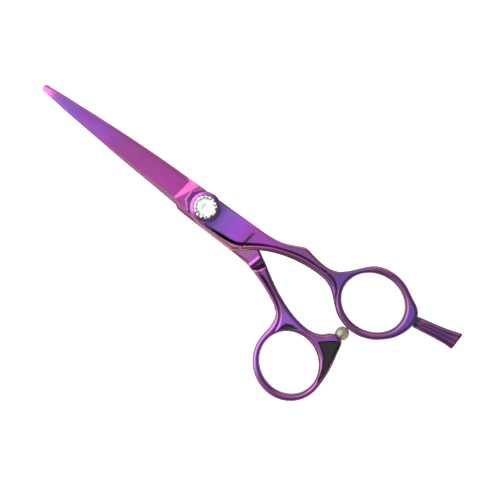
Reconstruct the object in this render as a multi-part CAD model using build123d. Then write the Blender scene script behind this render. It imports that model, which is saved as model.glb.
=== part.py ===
"""Hairdressing shears with a tension dial, a screw-in finger rest and a bumper.

Units are millimetres. The origin is on the pivot's axis, on the flat back of the pivot screw's
head, which is the plane that the closed shears lie on. +Z points out of the tension dial, +X
points from the pivot towards the finger rings and +Y towards the finger ring's side.
The finger blade is the upper one (+Z) and the thumb blade the lower one.
"""
from build123d import *
from math import atan2, cos, degrees, radians, sin
import os

# ---- heights above the plane that the shears lie on ----
HEAD_HEIGHT = 0.7           # pivot screw's head, under the thumb blade
RIDE_HEIGHT = 3.0           # top of the thumb blade, where the blades ride on each other
RIDE_GAP = 0.05             # space between the blades
FINGER_TOP = 5.3            # top of the finger blade at the pivot
HANDLE_TOP = 6.0            # top of both handles and rings, which reach down to the plane
TIP_THICKNESS = 1.0         # each blade's thickness at the tip

# ---- blades, seen from above ----
TIP = (-64.6, 0.2)
HEEL_X = -8.0               # where the ground blades end and the flat shanks begin
FINGER_CUTTING_EDGE = [(-64.0, 1.40), (-52.0, 2.41), (-36.0, 3.52), (-20.0, 4.22), (-4.0, 4.50),
                       (12.0, 4.69), (22.0, 4.86), (28.0, 6.23), (31.0, 7.6)]
FINGER_SPINE = [(-64.0, -0.85), (-51.3, -2.0), (-31.4, -2.98), (-11.5, -3.30), (-5.6, -3.98),
                (-2.0, -5.0), (3.0, -5.9), (9.0, -6.15), (14.6, -6.1)]
THUMB_CUTTING_EDGE = [(-64.0, -0.87), (-52.0, -2.08), (-36.0, -3.29), (-20.0, -4.26), (-8.0, -5.0)]
THUMB_SPINE = [(-64.0, 1.2), (-51.0, 1.9), (-31.0, 2.8), (-12.0, 3.3), (-2.0, 4.1), (14.0, 4.2),
               (22.3, -0.95)]
GRIND_SLOPE = 50.0          # angle of the ground bevel behind each cutting edge

# ---- handles, seen from above ----
FINGER_REST_BUMP = [(31.0, 7.6), (33.7, 8.85), (37.0, 8.15), (42.0, 7.7), (46.0, 8.6), (51.0, 13.8)]
FINGER_INSIDE = [(14.6, -6.1), (16.2, -5.2), (22.0, -0.55), (28.0, 2.0), (34.0, 3.6), (41.0, 4.25),
                 (46.0, 3.6), (52.5, -1.5)]
THUMB_INSIDE = [(22.3, -0.95), (28.0, -4.2), (36.0, -8.5), (44.0, -11.2), (50.0, -11.8),
                (54.1, -10.3), (56.1, -8.25)]
HORN_OUTSIDE = [(60.0, -8.2), (61.3, -11.4), (62.4, -17.0), (62.6, -22.5)]
THUMB_OUTSIDE = [(-6.8, -5.85), (4.0, -6.17), (20.0, -6.64), (28.0, -8.72), (34.0, -11.1),
                 (37.0, -12.9), (38.9, -16.5), (38.9, -20.5)]
FLAT_END_X = 17.0           # round end of the flat on top of the finger shank
THUMB_FLAT_END_X = 20.0     # end of the flat under the thumb shank
SHOULDER_X = 22.8           # the thumb handle stands at full height beyond this
UNDERCUT_X = 26.0           # the finger handle reaches down to the plane beyond this
FAR = 60.0                  # longer than any cut has to be

# ---- rings: centre, half length, half width, turn in degrees ----
FINGER_RING = (60.97, 7.35)
FINGER_HOLE = (10.55, 9.03, 5.0)
FINGER_RIM = (12.9, 11.55, 5.0)
THUMB_RING = (50.74, -23.94)
THUMB_HOLE = (10.2, 9.24, -24.0)
THUMB_RIM = (12.4, 11.6, -35.0)

# ---- finger rest, screwed into a boss on the finger ring ----
REST_BASE = (75.25, 10.39)
REST_END = (90.06, 13.32)
REST_TURN = degrees(atan2(REST_END[1] - REST_BASE[1], REST_END[0] - REST_BASE[0]))
REST_Z = HANDLE_TOP / 2
REST_SECTIONS = [(0.1, 1.75, 1.75), (1.4, 1.75, 1.75), (2.2, 2.05, 1.8), (7.0, 2.15, 1.7),
                 (11.5, 2.45, 1.6), (14.0, 2.75, 1.55), (15.0, 2.4, 1.2)]
BOSS_ABOVE = [(64.0, 18.4), (68.0, 17.1), (72.0, 15.1), (74.8, 12.5)]
BOSS_BELOW = [(75.3, 8.9), (74.2, 5.5), (72.0, 1.9), (68.5, -1.5)]
STUD_RADIUS = 1.25
STUD_CLEARANCE = 0.05
BOSS_HOLE_DEPTH = 2.8
STUD_INSIDE_REST = 4.0

# ---- bumper on the thumb ring's horn ----
BUMPER_CENTRE = (58.93, -6.50)
BUMPER_RADIUS = 2.35
BUMPER_SEAT_Y = -8.2
PIN_RADIUS = 0.7
PIN_LENGTH = 4.2

# ---- pivot ----
SHAFT_RADIUS = 2.0
SQUARE_SIDE = 4.2
HEAD_RADIUS = 4.1
BUSHING_BORE = 2.05
BUSHING_RADIUS = 2.8
WASHER_RADIUS = 4.3
WASHER_RECESS = 0.3
WASHER_LIFT = 0.01
SHAFT_TOP = 7.2
EDGE_BREAK = 0.15

# ---- seat plate and tension dial ----
PLATE_TOP = 5.7
PLATE_CORNERS = ((-6.7, -1.7), (-4.1, -4.25), (3.4, -4.3), (3.4, 4.3), (-3.9, 4.3), (-6.7, 1.5))
PLATE_CHAMFER = 0.3
PLATE_HOLE = 3.7
DIAL_BOTTOM = 5.78
DIAL_RADIUS = 4.95
DIAL_SHOULDER = 7.4         # where the rim's cone starts
DIAL_TOP = 8.1
CAVITY_RADIUS = 3.8
CAVITY_TOP = 6.85
CRYSTAL_SEAT = 7.3
CRYSTAL_RADIUS = 3.72
CRYSTAL_GIRDLE = 8.0
CRYSTAL_TOP = 8.75
TABLE_RADIUS = 2.1
FOIL_THICKNESS = 0.05
GRIP_COUNT = 24
GRIP_RADIUS = 0.25
GRIP_OFFSET = 0.1           # from the dial's side to each groove's axis
GRIP_STOP = 0.35            # from the shoulder down to each groove's top

# ---- click parts inside the dial ----
CLICK_PLATE = (5.76, 6.05)
CLICK_PLATE_RADIUS = 3.4
CLICK_COUNT = 12
CLICK_CIRCLE = 2.75
BALL_RADIUS = 0.3
HOLLOW_RADIUS = 0.24
HOLLOW_LIFT = 0.1           # from the click plate's top to each hollow's centre
BALL_HEIGHT = 6.37
SPRING = (6.67, 6.82)
SPRING_RADII = (2.35, 3.4)


def slab(sketch, low, high):
    """Solid between two heights with the outline of a sketch drawn in the plane of X and Y."""
    return extrude(Pos(0, 0, low) * sketch, high - low)


def disc(radius, low, high, centre=(0, 0)):
    """Upright cylinder between two heights."""
    return Pos(centre[0], centre[1], (low + high) / 2) * Cylinder(radius, high - low)


def oval(centre, half_length, half_width, turn):
    """Elliptical sketch, turned about its own centre."""
    return Pos(*centre) * Rot(0, 0, turn) * Ellipse(half_length, half_width)


def outline(*runs):
    """Sketch inside a closed chain of runs of points, each a smooth curve or straight lines.

    Each run is a pair: "curve" or "lines", and its points. A run starts where the last one ends.
    """
    edges = []
    for kind, points in runs:
        edges += Spline(*points).edges() if kind == "curve" else Polyline(*points).edges()
    return make_face(Wire(edges))


def finger_outline():
    """Blade, shank and ring of the finger half from above, with the boss for the finger rest."""
    blade = outline(
        ("curve", FINGER_CUTTING_EDGE),
        ("curve", FINGER_REST_BUMP),
        ("lines", [FINGER_REST_BUMP[-1], (56.0, 14.0), (56.0, 1.0), FINGER_INSIDE[-1]]),
        ("curve", FINGER_INSIDE[::-1]),
        ("curve", FINGER_SPINE[::-1]),
        ("lines", [FINGER_SPINE[0], TIP, FINGER_CUTTING_EDGE[0]]),
    )
    boss = outline(
        ("curve", BOSS_ABOVE),
        ("lines", [BOSS_ABOVE[-1], BOSS_BELOW[0]]),
        ("curve", BOSS_BELOW),
        ("lines", [BOSS_BELOW[-1], FINGER_RING, BOSS_ABOVE[0]]),
    )
    return blade + oval(FINGER_RING, *FINGER_RIM) + boss


def thumb_outline():
    """Blade, shank, ring and horn of the thumb half from above."""
    blade = outline(
        ("curve", THUMB_SPINE),
        ("curve", THUMB_INSIDE),
        ("lines", [THUMB_INSIDE[-1], HORN_OUTSIDE[0]]),
        ("curve", HORN_OUTSIDE),
        ("lines", [HORN_OUTSIDE[-1], (50.0, -34.5), THUMB_OUTSIDE[-1]]),
        ("curve", THUMB_OUTSIDE[::-1]),
        ("lines", [THUMB_OUTSIDE[0], THUMB_CUTTING_EDGE[-1]]),
        ("curve", THUMB_CUTTING_EDGE[::-1]),
        ("lines", [THUMB_CUTTING_EDGE[0], TIP, THUMB_SPINE[0]]),
    )
    return blade + oval(THUMB_RING, *THUMB_RIM)


def cut_below(height, start, end):
    """Block under a height, between two places along X."""
    return Pos((start + end) / 2, 0, height - FAR / 2) * Box(end - start, FAR, FAR)


def cut_above(height, start, end):
    """Block over a height, between two places along X."""
    return Pos((start + end) / 2, 0, height + FAR / 2) * Box(end - start, FAR, FAR)


def taper(heel_height, tip_height):
    """Block on the far side of a blade's outer face, which is a plane from the heel to the tip."""
    outward = 5.0 if heel_height > RIDE_HEIGHT else -5.0
    corners = [(HEEL_X, heel_height), (TIP[0], tip_height), (TIP[0], tip_height + outward),
               (HEEL_X, heel_height + outward)]
    side_view = make_face(Plane.XZ * Polyline(*corners, close=True))
    return extrude(side_view, 20, both=True)


def ground_bevel(edge, side, top):
    """Wedge that grinds a blade's outer face down to its cutting edge, as one flat plane.

    side is the way the edge faces along Y, and top is +1 for the upper face, -1 for the lower.
    """
    (x0, y0), (x1, y1) = edge[0], edge[-1]
    rise = 5.0
    inward = rise / sin(radians(GRIND_SLOPE)) * cos(radians(GRIND_SLOPE))
    corners = [(0, 0), (-side * inward, top * rise), (side * rise, top * rise), (side * rise, 0)]
    wedge = extrude(make_face(Plane.YZ * Polyline(*corners, close=True)), FAR)
    turn = degrees(atan2(y1 - y0, x1 - x0))
    return Pos(x1, y1, RIDE_HEIGHT) * Rot(0, 0, turn) * Pos(-FAR, 0, 0) * wedge


def rest_axis(radius, start, end):
    """Cylinder on the finger rest's axis between two distances from the boss's face."""
    middle = Pos((start + end) / 2, 0, 0) * Rot(0, 90, 0) * Cylinder(radius, end - start)
    return Pos(REST_BASE[0], REST_BASE[1], REST_Z) * Rot(0, 0, REST_TURN) * middle


def bumper_axis(radius, start, end):
    """Cylinder along Y through the bumper's centre."""
    middle = Rot(90, 0, 0) * Cylinder(radius, end - start)
    return Pos(BUMPER_CENTRE[0], (start + end) / 2, REST_Z) * middle


def finger_blade():
    """Upper half: its lower face rides on the thumb blade as far as the handle."""
    body = slab(finger_outline() - oval(FINGER_RING, *FINGER_HOLE), 0, HANDLE_TOP)
    body -= cut_below(RIDE_HEIGHT + RIDE_GAP, -80, UNDERCUT_X)
    body -= cut_above(FINGER_TOP, HEEL_X, 0)
    body -= slab(flat_outline(), FINGER_TOP, HANDLE_TOP + 1)
    body -= taper(FINGER_TOP, RIDE_HEIGHT + TIP_THICKNESS)
    body -= ground_bevel(FINGER_CUTTING_EDGE[:4], 1, 1)
    body -= disc(BUSHING_RADIUS, 0, HANDLE_TOP)
    body -= disc(WASHER_RADIUS, 0, RIDE_HEIGHT + WASHER_RECESS)
    body -= rest_axis(STUD_RADIUS + STUD_CLEARANCE, -BOSS_HOLE_DEPTH, 3)
    return body


def flat_outline():
    """Level area on top of the finger shank, with a round end towards the ring."""
    start, narrow = (0, 6.0), (FLAT_END_X - 3.0, 2.9)
    return outline(
        ("lines", [(0, -7.0), start]),
        ("curve", [start, (6.0, 4.3), narrow]),
        ("curve", [narrow, (FLAT_END_X, 0.4), (FLAT_END_X - 3.0, -3.2)]),
        ("curve", [(FLAT_END_X - 3.0, -3.2), (6.0, -4.3), (0, -7.0)]),
    )


def thumb_blade():
    """Lower half: its upper face carries the finger blade as far as the shoulder."""
    body = slab(thumb_outline() - oval(THUMB_RING, *THUMB_HOLE), 0, HANDLE_TOP)
    body -= cut_above(RIDE_HEIGHT, -80, SHOULDER_X)
    body -= cut_below(HEAD_HEIGHT, -80, THUMB_FLAT_END_X)
    body -= taper(HEAD_HEIGHT, RIDE_HEIGHT - TIP_THICKNESS)
    body -= ground_bevel(THUMB_CUTTING_EDGE, -1, -1)
    body -= Box(SQUARE_SIDE, SQUARE_SIDE, 4 * RIDE_HEIGHT)
    body -= bumper_axis(PIN_RADIUS, BUMPER_SEAT_Y - PIN_LENGTH / 2, BUMPER_SEAT_Y + 3)
    return body


def pivot_screw():
    """Flat head, square shank keyed in the thumb blade, and the round shaft that the dial screws on."""
    head = chamfer(disc(HEAD_RADIUS, 0, HEAD_HEIGHT).edges().group_by(Axis.Z)[0], EDGE_BREAK)
    shank = Pos(0, 0, (HEAD_HEIGHT + RIDE_HEIGHT) / 2) * Box(SQUARE_SIDE, SQUARE_SIDE,
                                                            RIDE_HEIGHT - HEAD_HEIGHT)
    shaft = disc(SHAFT_RADIUS, RIDE_HEIGHT, SHAFT_TOP)
    return head + shank + chamfer(shaft.edges().group_by(Axis.Z)[-1], EDGE_BREAK)


def pivot_bushing():
    """Sleeve pressed into the finger blade, which the shaft turns in."""
    return disc(BUSHING_RADIUS, RIDE_HEIGHT + RIDE_GAP, FINGER_TOP) - disc(BUSHING_BORE, 0, HANDLE_TOP)


def blade_washer():
    """Thin washer in a recess under the finger blade, which keeps the shanks apart."""
    low, high = RIDE_HEIGHT + WASHER_LIFT, RIDE_HEIGHT + WASHER_RECESS
    return disc(WASHER_RADIUS, low, high) - disc(BUSHING_RADIUS, low, high)


def seat_plate():
    """Plate with bevelled straight sides that the dial stands on; its sides lie within the shank."""
    plate = slab(Polygon(*PLATE_CORNERS, align=None), FINGER_TOP, PLATE_TOP)
    plate = chamfer(plate.edges().group_by(Axis.Z)[-1], PLATE_CHAMFER)
    return plate - disc(PLATE_HOLE, FINGER_TOP, HANDLE_TOP)


def tension_dial():
    """Round knob turned about the pivot: rim with a cone, cavity below, thread bore and stone seat."""
    section = Polyline(
        (BUSHING_BORE, CAVITY_TOP), (CAVITY_RADIUS, CAVITY_TOP), (CAVITY_RADIUS, DIAL_BOTTOM),
        (DIAL_RADIUS, DIAL_BOTTOM), (DIAL_RADIUS, DIAL_SHOULDER), (CAVITY_RADIUS + 0.1, DIAL_TOP),
        (CRYSTAL_RADIUS, DIAL_TOP), (CRYSTAL_RADIUS, CRYSTAL_SEAT), (BUSHING_BORE, CRYSTAL_SEAT),
        close=True)
    dial = revolve(make_face(Plane.XZ * section), Axis.Z)
    grip = disc(GRIP_RADIUS, 0, DIAL_SHOULDER - GRIP_STOP, (DIAL_RADIUS + GRIP_OFFSET, 0))
    return dial - [Rot(0, 0, i * 360 / GRIP_COUNT) * grip for i in range(GRIP_COUNT)]


def crystal():
    """Round stone: flat back, straight girdle, and a crown of flat facets up to its table."""
    girdle = disc(CRYSTAL_RADIUS - 0.02, CRYSTAL_SEAT + FOIL_THICKNESS, CRYSTAL_GIRDLE)
    crown = loft([Pos(0, 0, CRYSTAL_GIRDLE) * RegularPolygon(CRYSTAL_RADIUS - 0.03, 16),
                  Pos(0, 0, CRYSTAL_TOP) * RegularPolygon(TABLE_RADIUS, 16)])
    return girdle + crown


def crystal_foil():
    """Mirror backing between the stone and its seat."""
    return disc(CRYSTAL_RADIUS - 0.1, CRYSTAL_SEAT, CRYSTAL_SEAT + FOIL_THICKNESS)


def click_plate():
    """Disc keyed on the screw under the dial, with a ring of shallow hollows for the balls."""
    low, high = CLICK_PLATE
    plate = disc(CLICK_PLATE_RADIUS, low, high) - disc(SHAFT_RADIUS, low, high)
    hollow = Pos(CLICK_CIRCLE, 0, high + HOLLOW_LIFT) * Sphere(HOLLOW_RADIUS)
    return plate - [Rot(0, 0, i * 360 / CLICK_COUNT) * hollow for i in range(CLICK_COUNT)]


def click_spring():
    """Flat spring ring that presses the balls down."""
    inner, outer = SPRING_RADII
    return disc(outer, *SPRING) - disc(inner, *SPRING)


def click_ball(side):
    """Small ball on one side of the shaft."""
    return Pos(side * CLICK_CIRCLE, 0, BALL_HEIGHT) * Sphere(BALL_RADIUS)


def finger_rest():
    """Tang that swells from a round neck to a broad end, lofted through ovals on its axis."""
    sections = []
    for distance, half_width, half_height in REST_SECTIONS:
        sections.append(Pos(distance, 0, 0) * (Plane.YZ * Ellipse(half_width, half_height)))
    body = Pos(REST_BASE[0], REST_BASE[1], REST_Z) * Rot(0, 0, REST_TURN) * loft(sections)
    return body - rest_axis(STUD_RADIUS, 0, STUD_INSIDE_REST)


def finger_rest_stud():
    """Threaded stud, fixed in the rest and screwed into the boss."""
    return rest_axis(STUD_RADIUS, 0.2 - BOSS_HOLE_DEPTH, STUD_INSIDE_REST)


def bumper():
    """Round silencer, flat where it sits on the horn, over its pin."""
    ball = Pos(BUMPER_CENTRE[0], BUMPER_CENTRE[1], REST_Z) * Sphere(BUMPER_RADIUS)
    seat = Pos(BUMPER_CENTRE[0], BUMPER_SEAT_Y - 5, REST_Z) * Box(10, 10, 10)
    return ball - seat - bumper_axis(PIN_RADIUS, BUMPER_SEAT_Y - 1, BUMPER_SEAT_Y + PIN_LENGTH / 2)


def bumper_stud():
    """Pin that holds the bumper on the horn."""
    return bumper_axis(PIN_RADIUS, BUMPER_SEAT_Y - PIN_LENGTH / 2, BUMPER_SEAT_Y + PIN_LENGTH / 2)


def nodes():
    """Every separate piece of the shears by its name."""
    return {
        "finger_blade": finger_blade(),
        "seat_plate": seat_plate(),
        "pivot_bushing": pivot_bushing(),
        "blade_washer": blade_washer(),
        "thumb_blade": thumb_blade(),
        "pivot_screw": pivot_screw(),
        "click_plate": click_plate(),
        "bumper": bumper(),
        "bumper_stud": bumper_stud(),
        "tension_dial": tension_dial(),
        "crystal": crystal(),
        "crystal_foil": crystal_foil(),
        "click_spring": click_spring(),
        "click_ball_1": click_ball(1),
        "click_ball_2": click_ball(-1),
        "finger_rest": finger_rest(),
        "finger_rest_stud": finger_rest_stud(),
    }


if __name__ == "__main__":
    os.makedirs("parts", exist_ok=True)
    for name, solid in nodes().items():
        export_step(solid, f"parts/{name}.step")
        print(name, round(solid.volume, 2))
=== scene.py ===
"""Looks of a pair of hairdressing shears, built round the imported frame.

Sizes are in millimetres, in the frame of the part: the pivot's axis is the Z axis, the closed
shears lie on the plane z = 0, +X runs from the pivot to the finger rings and +Y to the finger
ring's side. Every piece is a surface worked out with numpy and lies where its CAD node lies.
"""

import logging
import math
from dataclasses import dataclass, field
from enum import Enum
from typing import Callable, Sequence

import bpy
import bmesh
import numpy as np
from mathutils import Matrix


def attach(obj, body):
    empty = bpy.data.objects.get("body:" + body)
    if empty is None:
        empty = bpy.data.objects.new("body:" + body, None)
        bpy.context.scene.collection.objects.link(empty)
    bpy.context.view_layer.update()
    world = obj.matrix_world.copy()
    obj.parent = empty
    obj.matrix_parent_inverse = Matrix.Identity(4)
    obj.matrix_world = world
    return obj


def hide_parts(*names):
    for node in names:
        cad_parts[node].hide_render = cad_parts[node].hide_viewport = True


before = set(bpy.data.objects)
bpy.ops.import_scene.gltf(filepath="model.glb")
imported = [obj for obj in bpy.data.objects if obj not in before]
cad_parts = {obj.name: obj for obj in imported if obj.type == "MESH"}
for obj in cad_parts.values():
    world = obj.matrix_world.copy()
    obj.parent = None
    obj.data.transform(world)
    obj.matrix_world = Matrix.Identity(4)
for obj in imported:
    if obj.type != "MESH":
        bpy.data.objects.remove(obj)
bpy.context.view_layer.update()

LOG = logging.getLogger("shears")
MM = 0.001
Array = np.ndarray
Points = Sequence[tuple[float, float]]


class Slot(Enum):
    """Material slots, one named for each new piece."""

    COATED = "coated_steel"
    DIAL = "dial_steel"
    REST = "rest_steel"
    STONE = "stone_glass"
    FOIL = "stone_foil"
    BUMPER = "bumper_rubber"


# ---------------------------------------------------------------------------------------------
# Curves and distances
# ---------------------------------------------------------------------------------------------


def flowing_slopes(t: Array, values: Array) -> Array:
    """Slopes at the knots of a curve that never overshoots them.

    Each inner slope is the weighted harmonic mean of the slopes on its two sides, or zero where
    they differ in sign; the end slopes are those of the end spans.

    Args:
        t: rising knot places, of length n.
        values: knot values, of shape (n,).

    Returns:
        One slope for each knot.
    """
    span = np.diff(t)
    chord = np.diff(values) / span
    slopes = np.empty_like(values)
    slopes[0], slopes[-1] = chord[0], chord[-1]
    before, after = chord[:-1], chord[1:]
    w1, w2 = 2 * span[1:] + span[:-1], span[1:] + 2 * span[:-1]
    same = before * after > 0
    safe_before, safe_after = np.where(same, before, 1), np.where(same, after, 1)
    slopes[1:-1] = np.where(same, (w1 + w2) / (w1 / safe_before + w2 / safe_after), 0)
    return slopes


def rounded_slopes(t: Array, values: Array) -> Array:
    """Slopes at the knots of the curve of least bending (natural cubic spline).

    Args:
        t: rising knot places, of length n.
        values: knot values, of shape (n,).

    Returns:
        One slope for each knot.
    """
    n = len(t)
    span = np.diff(t)
    system = np.zeros((n, n))
    right = np.zeros(n)
    inner = np.arange(1, n - 1)
    system[inner, inner - 1] = 1 / span[:-1]
    system[inner, inner] = 2 * (1 / span[:-1] + 1 / span[1:])
    system[inner, inner + 1] = 1 / span[1:]
    rise = np.diff(values) / span**2
    right[inner] = 3 * (rise[:-1] + rise[1:])
    system[0, :2] = 2 / span[0], 1 / span[0]
    system[-1, -2:] = 1 / span[-1], 2 / span[-1]
    right[0], right[-1] = 3 * rise[0], 3 * rise[-1]
    return np.linalg.solve(system, right)


@dataclass(frozen=True)
class Rail:
    """A value that varies smoothly along X, such as the place of an edge.

    Between two knots it is the cubic with the knots' values and slopes.
    """

    knots: Points
    rounded: bool = False

    def __call__(self, x: Array) -> Array:
        """Value at x; beyond the end knots it keeps their values.

        Args:
            x: places along X.

        Returns:
            One value for each place.
        """
        t, v = np.array(self.knots, float).T
        slopes = rounded_slopes(t, v) if self.rounded else flowing_slopes(t, v)
        return cubic(t, v, slopes, np.clip(x, t[0], t[-1]))


def cubic(t: Array, values: Array, slopes: Array, at: Array) -> Array:
    """Cubic pieces through knots with given slopes.

    Args:
        t: rising knot places.
        values: one value for each knot.
        slopes: one slope for each knot.
        at: places within the knots.

    Returns:
        The curve's value at each place.
    """
    i = np.clip(np.searchsorted(t, at, side="right") - 1, 0, len(t) - 2)
    span = t[i + 1] - t[i]
    s = (at - t[i]) / span
    start, end = values[i], values[i + 1]
    lean_in, lean_out = slopes[i] * span, slopes[i + 1] * span
    return (start * (1 + 2 * s) * (1 - s) ** 2 + lean_in * s * (1 - s) ** 2
            + end * s**2 * (3 - 2 * s) + lean_out * s**2 * (s - 1))


def path_through(knots: Points, count: int) -> Array:
    """Smooth path through points, sampled evenly along its chords.

    X and Y are each the curve of least bending against the distance along the chords.

    Args:
        knots: points that the path runs through.
        count: number of samples.

    Returns:
        Points of shape (count, 2).
    """
    p = np.array(knots, float)
    t = np.concatenate([[0], np.cumsum(np.linalg.norm(np.diff(p, axis=0), axis=1))])
    at = np.linspace(0, t[-1], count)
    return np.stack([cubic(t, p[:, k], rounded_slopes(t, p[:, k]), at) for k in (0, 1)], axis=1)


def distance_to(x: Array, y: Array, path: Array) -> Array:
    """Distance from points to a path of short straight runs.

    For each run, the foot of the point's perpendicular is held within the run, and the nearest
    foot counts. Points are taken in blocks, so that the table of distances stays small.

    Args:
        x: places of the points along X.
        y: places of the points along Y.
        path: corners of the path, of shape (n, 2).

    Returns:
        One distance for each point.
    """
    path = path.astype(np.float32)
    (start_x, start_y), (run_x, run_y) = path[:-1].T, np.diff(path, axis=0).T
    square = np.maximum(run_x**2 + run_y**2, np.float32(1e-10))
    flat_x, flat_y = np.ravel(x).astype(np.float32), np.ravel(y).astype(np.float32)
    result = np.empty(len(flat_x), np.float32)
    block = 1024
    for low in range(0, len(flat_x), block):
        gap_x = flat_x[low:low + block, None] - start_x
        gap_y = flat_y[low:low + block, None] - start_y
        along = np.clip((gap_x * run_x + gap_y * run_y) / square, 0, 1)
        gap_x -= along * run_x
        gap_y -= along * run_y
        result[low:low + block] = (gap_x * gap_x + gap_y * gap_y).min(1)
    return np.sqrt(result).astype(float).reshape(np.shape(x))


def ease(t: Array) -> Array:
    """Smooth step: 0 up to t = 0, 1 from t = 1, and level at both ends."""
    s = np.clip(t, 0, 1)
    return s * s * (3 - 2 * s)


def edge_drop(distance: Array, width: Array, depth: Array, fullness: float = 1.7) -> Array:
    """How far a rounded edge lies below its face.

    The section is a quarter of a superellipse: nothing at width from the outline and depth at
    the outline.

    Args:
        distance: distance from the outline.
        width: how far the rounding reaches inwards.
        depth: how far it reaches down.
        fullness: 1 is a flat chamfer and 2 a round edge.

    Returns:
        The drop for each distance.
    """
    t = 1 - np.clip(distance / width, 0, 1)
    return depth * (1 - (1 - t**fullness) ** (1 / fullness))


# ---------------------------------------------------------------------------------------------
# Meshes from grids
# ---------------------------------------------------------------------------------------------


def grid_faces(rows: int, columns: int, closed_rows: bool, closed_columns: bool) -> Array:
    """Corner numbers of a grid's four-sided faces, row by row.

    Args:
        rows: number of rows of points.
        columns: number of points in each row.
        closed_rows: whether the last row joins the first one.
        closed_columns: whether each row's last point joins its first one.

    Returns:
        Corner numbers of shape (faces, 4).
    """
    i = np.arange(rows if closed_rows else rows - 1)[:, None]
    j = np.arange(columns if closed_columns else columns - 1)[None, :]
    i2, j2 = (i + 1) % rows, (j + 1) % columns
    corners = [i * columns + j, i * columns + j2, i2 * columns + j2, i2 * columns + j]
    return np.stack(np.broadcast_arrays(*corners), axis=-1).reshape(-1, 4)


@dataclass
class Shell:
    """A closed mesh gathered from grids of points, in millimetres."""

    name: str
    sheets: list[tuple[Array, Array]] = field(default_factory=list)
    masks: dict[str, Callable[[Array], Array]] = field(default_factory=dict)

    def add(self, points: Array, closed_rows: bool = False, closed_columns: bool = False) -> None:
        """Adds a grid of points.

        Args:
            points: points of shape (rows, columns, 3).
            closed_rows: whether the last row joins the first one.
            closed_columns: whether each row's last point joins its first one.
        """
        rows, columns = points.shape[:2]
        faces = grid_faces(rows, columns, closed_rows, closed_columns)
        self.sheets.append((points.reshape(-1, 3), faces))

    def add_faces(self, points: Array, faces: Array) -> None:
        """Adds points of shape (n, 3) with faces of three or four corners."""
        quads = faces if faces.shape[1] == 4 else np.concatenate([faces, faces[:, :1]], axis=1)
        self.sheets.append((points, quads))

    def to_object(self, sharp_degrees: float) -> bpy.types.Object:
        """Welds the sheets along shared edges and makes the Blender object.

        Points closer than a ten-thousandth of a millimetre become one, corners that fall
        together are dropped and faces left without area are removed.

        Args:
            sharp_degrees: edges that turn by more than this stay crisp.

        Returns:
            The object, linked to the scene, with its faces pointing outwards.
        """
        starts = np.cumsum([0] + [len(p) for p, _ in self.sheets])
        points = np.concatenate([p for p, _ in self.sheets])
        faces = np.concatenate([f + s for (_, f), s in zip(self.sheets, starts)])
        _, first, number = np.unique(np.round(points * 1e4).astype(np.int64), axis=0,
                                     return_index=True, return_inverse=True)
        points, faces = points[first], number.reshape(-1)[faces]
        mesh = bpy.data.meshes.new(self.name)
        mesh.from_pydata(points * MM, [], distinct_corners(faces))
        body = bmesh.new()
        body.from_mesh(mesh)
        bmesh.ops.recalc_face_normals(body, faces=body.faces)
        body.to_mesh(mesh)
        body.free()
        mesh.polygons.foreach_set("use_smooth", np.ones(len(mesh.polygons), bool))
        mesh.set_sharp_from_angle(angle=math.radians(sharp_degrees))
        for name, rule in self.masks.items():
            co = np.empty(len(mesh.vertices) * 3, np.float32)
            mesh.vertices.foreach_get("co", co)
            layer = mesh.attributes.new(name, "FLOAT", "POINT")
            layer.data.foreach_set("value", rule(co.reshape(-1, 3) / MM).astype(np.float32))
        thing = bpy.data.objects.new(self.name, mesh)
        bpy.context.scene.collection.objects.link(thing)
        return thing


def distinct_corners(faces: Array) -> list[list[int]]:
    """Drops repeated corners, and faces left with fewer than three corners.

    Args:
        faces: corner numbers of shape (faces, 4).

    Returns:
        The corners of each face that is left.
    """
    repeated = np.stack([faces[:, k] == faces[:, (k + 1) % 4] for k in range(4)], axis=1)
    plain = faces[~repeated.any(1)].tolist()
    others = [[c for c, drop in zip(f, d) if not drop]
              for f, d in zip(faces[repeated.any(1)].tolist(), repeated[repeated.any(1)].tolist())]
    return plain + [f for f in others if len(set(f)) == len(f) >= 3]


def lathe(profile: Points, segments: int,
          ripple: Callable[[Array, Array], Array] | None = None) -> Array:
    """Grid of a profile turned once about the Z axis.

    Args:
        profile: radius and height of each point of the profile.
        segments: points in each ring.
        ripple: change of radius as a function of the profile's point number and the angle.

    Returns:
        Points of shape (profile, segments, 3).
    """
    r, z = np.array(profile, float).T
    angle = np.linspace(0, 2 * math.pi, segments, endpoint=False)[None, :]
    radius = np.repeat(r[:, None], segments, axis=1)
    if ripple is not None:
        radius = radius + ripple(np.arange(len(r))[:, None], angle)
    return np.stack([radius * np.cos(angle), radius * np.sin(angle),
                     np.repeat(z[:, None], segments, axis=1)], axis=-1)


def pole(centre: tuple[float, float, float], ring: Array) -> Array:
    """Two rows, the centre repeated and a ring of points, which close a grid's open end."""
    return np.stack([np.broadcast_to(np.array(centre, float), ring.shape), ring])


# ---------------------------------------------------------------------------------------------
# The two forged halves
# ---------------------------------------------------------------------------------------------


@dataclass(frozen=True)
class Oval:
    """An ellipse in the plane of the handles."""

    centre: tuple[float, float]
    half_length: float
    half_width: float
    turn: float

    def at(self, angle: Array) -> Array:
        """Points of the ellipse in given directions from its centre.

        Args:
            angle: directions in radians.

        Returns:
            Points of shape (directions, 2).
        """
        lean = angle - math.radians(self.turn)
        reach = self.half_length * self.half_width / np.hypot(self.half_width * np.cos(lean),
                                                              self.half_length * np.sin(lean))
        return np.stack([self.centre[0] + reach * np.cos(angle),
                         self.centre[1] + reach * np.sin(angle)], axis=-1)

    def arc(self, start: float, end: float, step: float = 8.0) -> list[tuple[float, float]]:
        """Points of the ellipse from one direction to another, in degrees, evenly spaced."""
        count = max(2, round(abs(end - start) / step) + 1)
        return [tuple(p) for p in self.at(np.radians(np.linspace(start, end, count)))]


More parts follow.
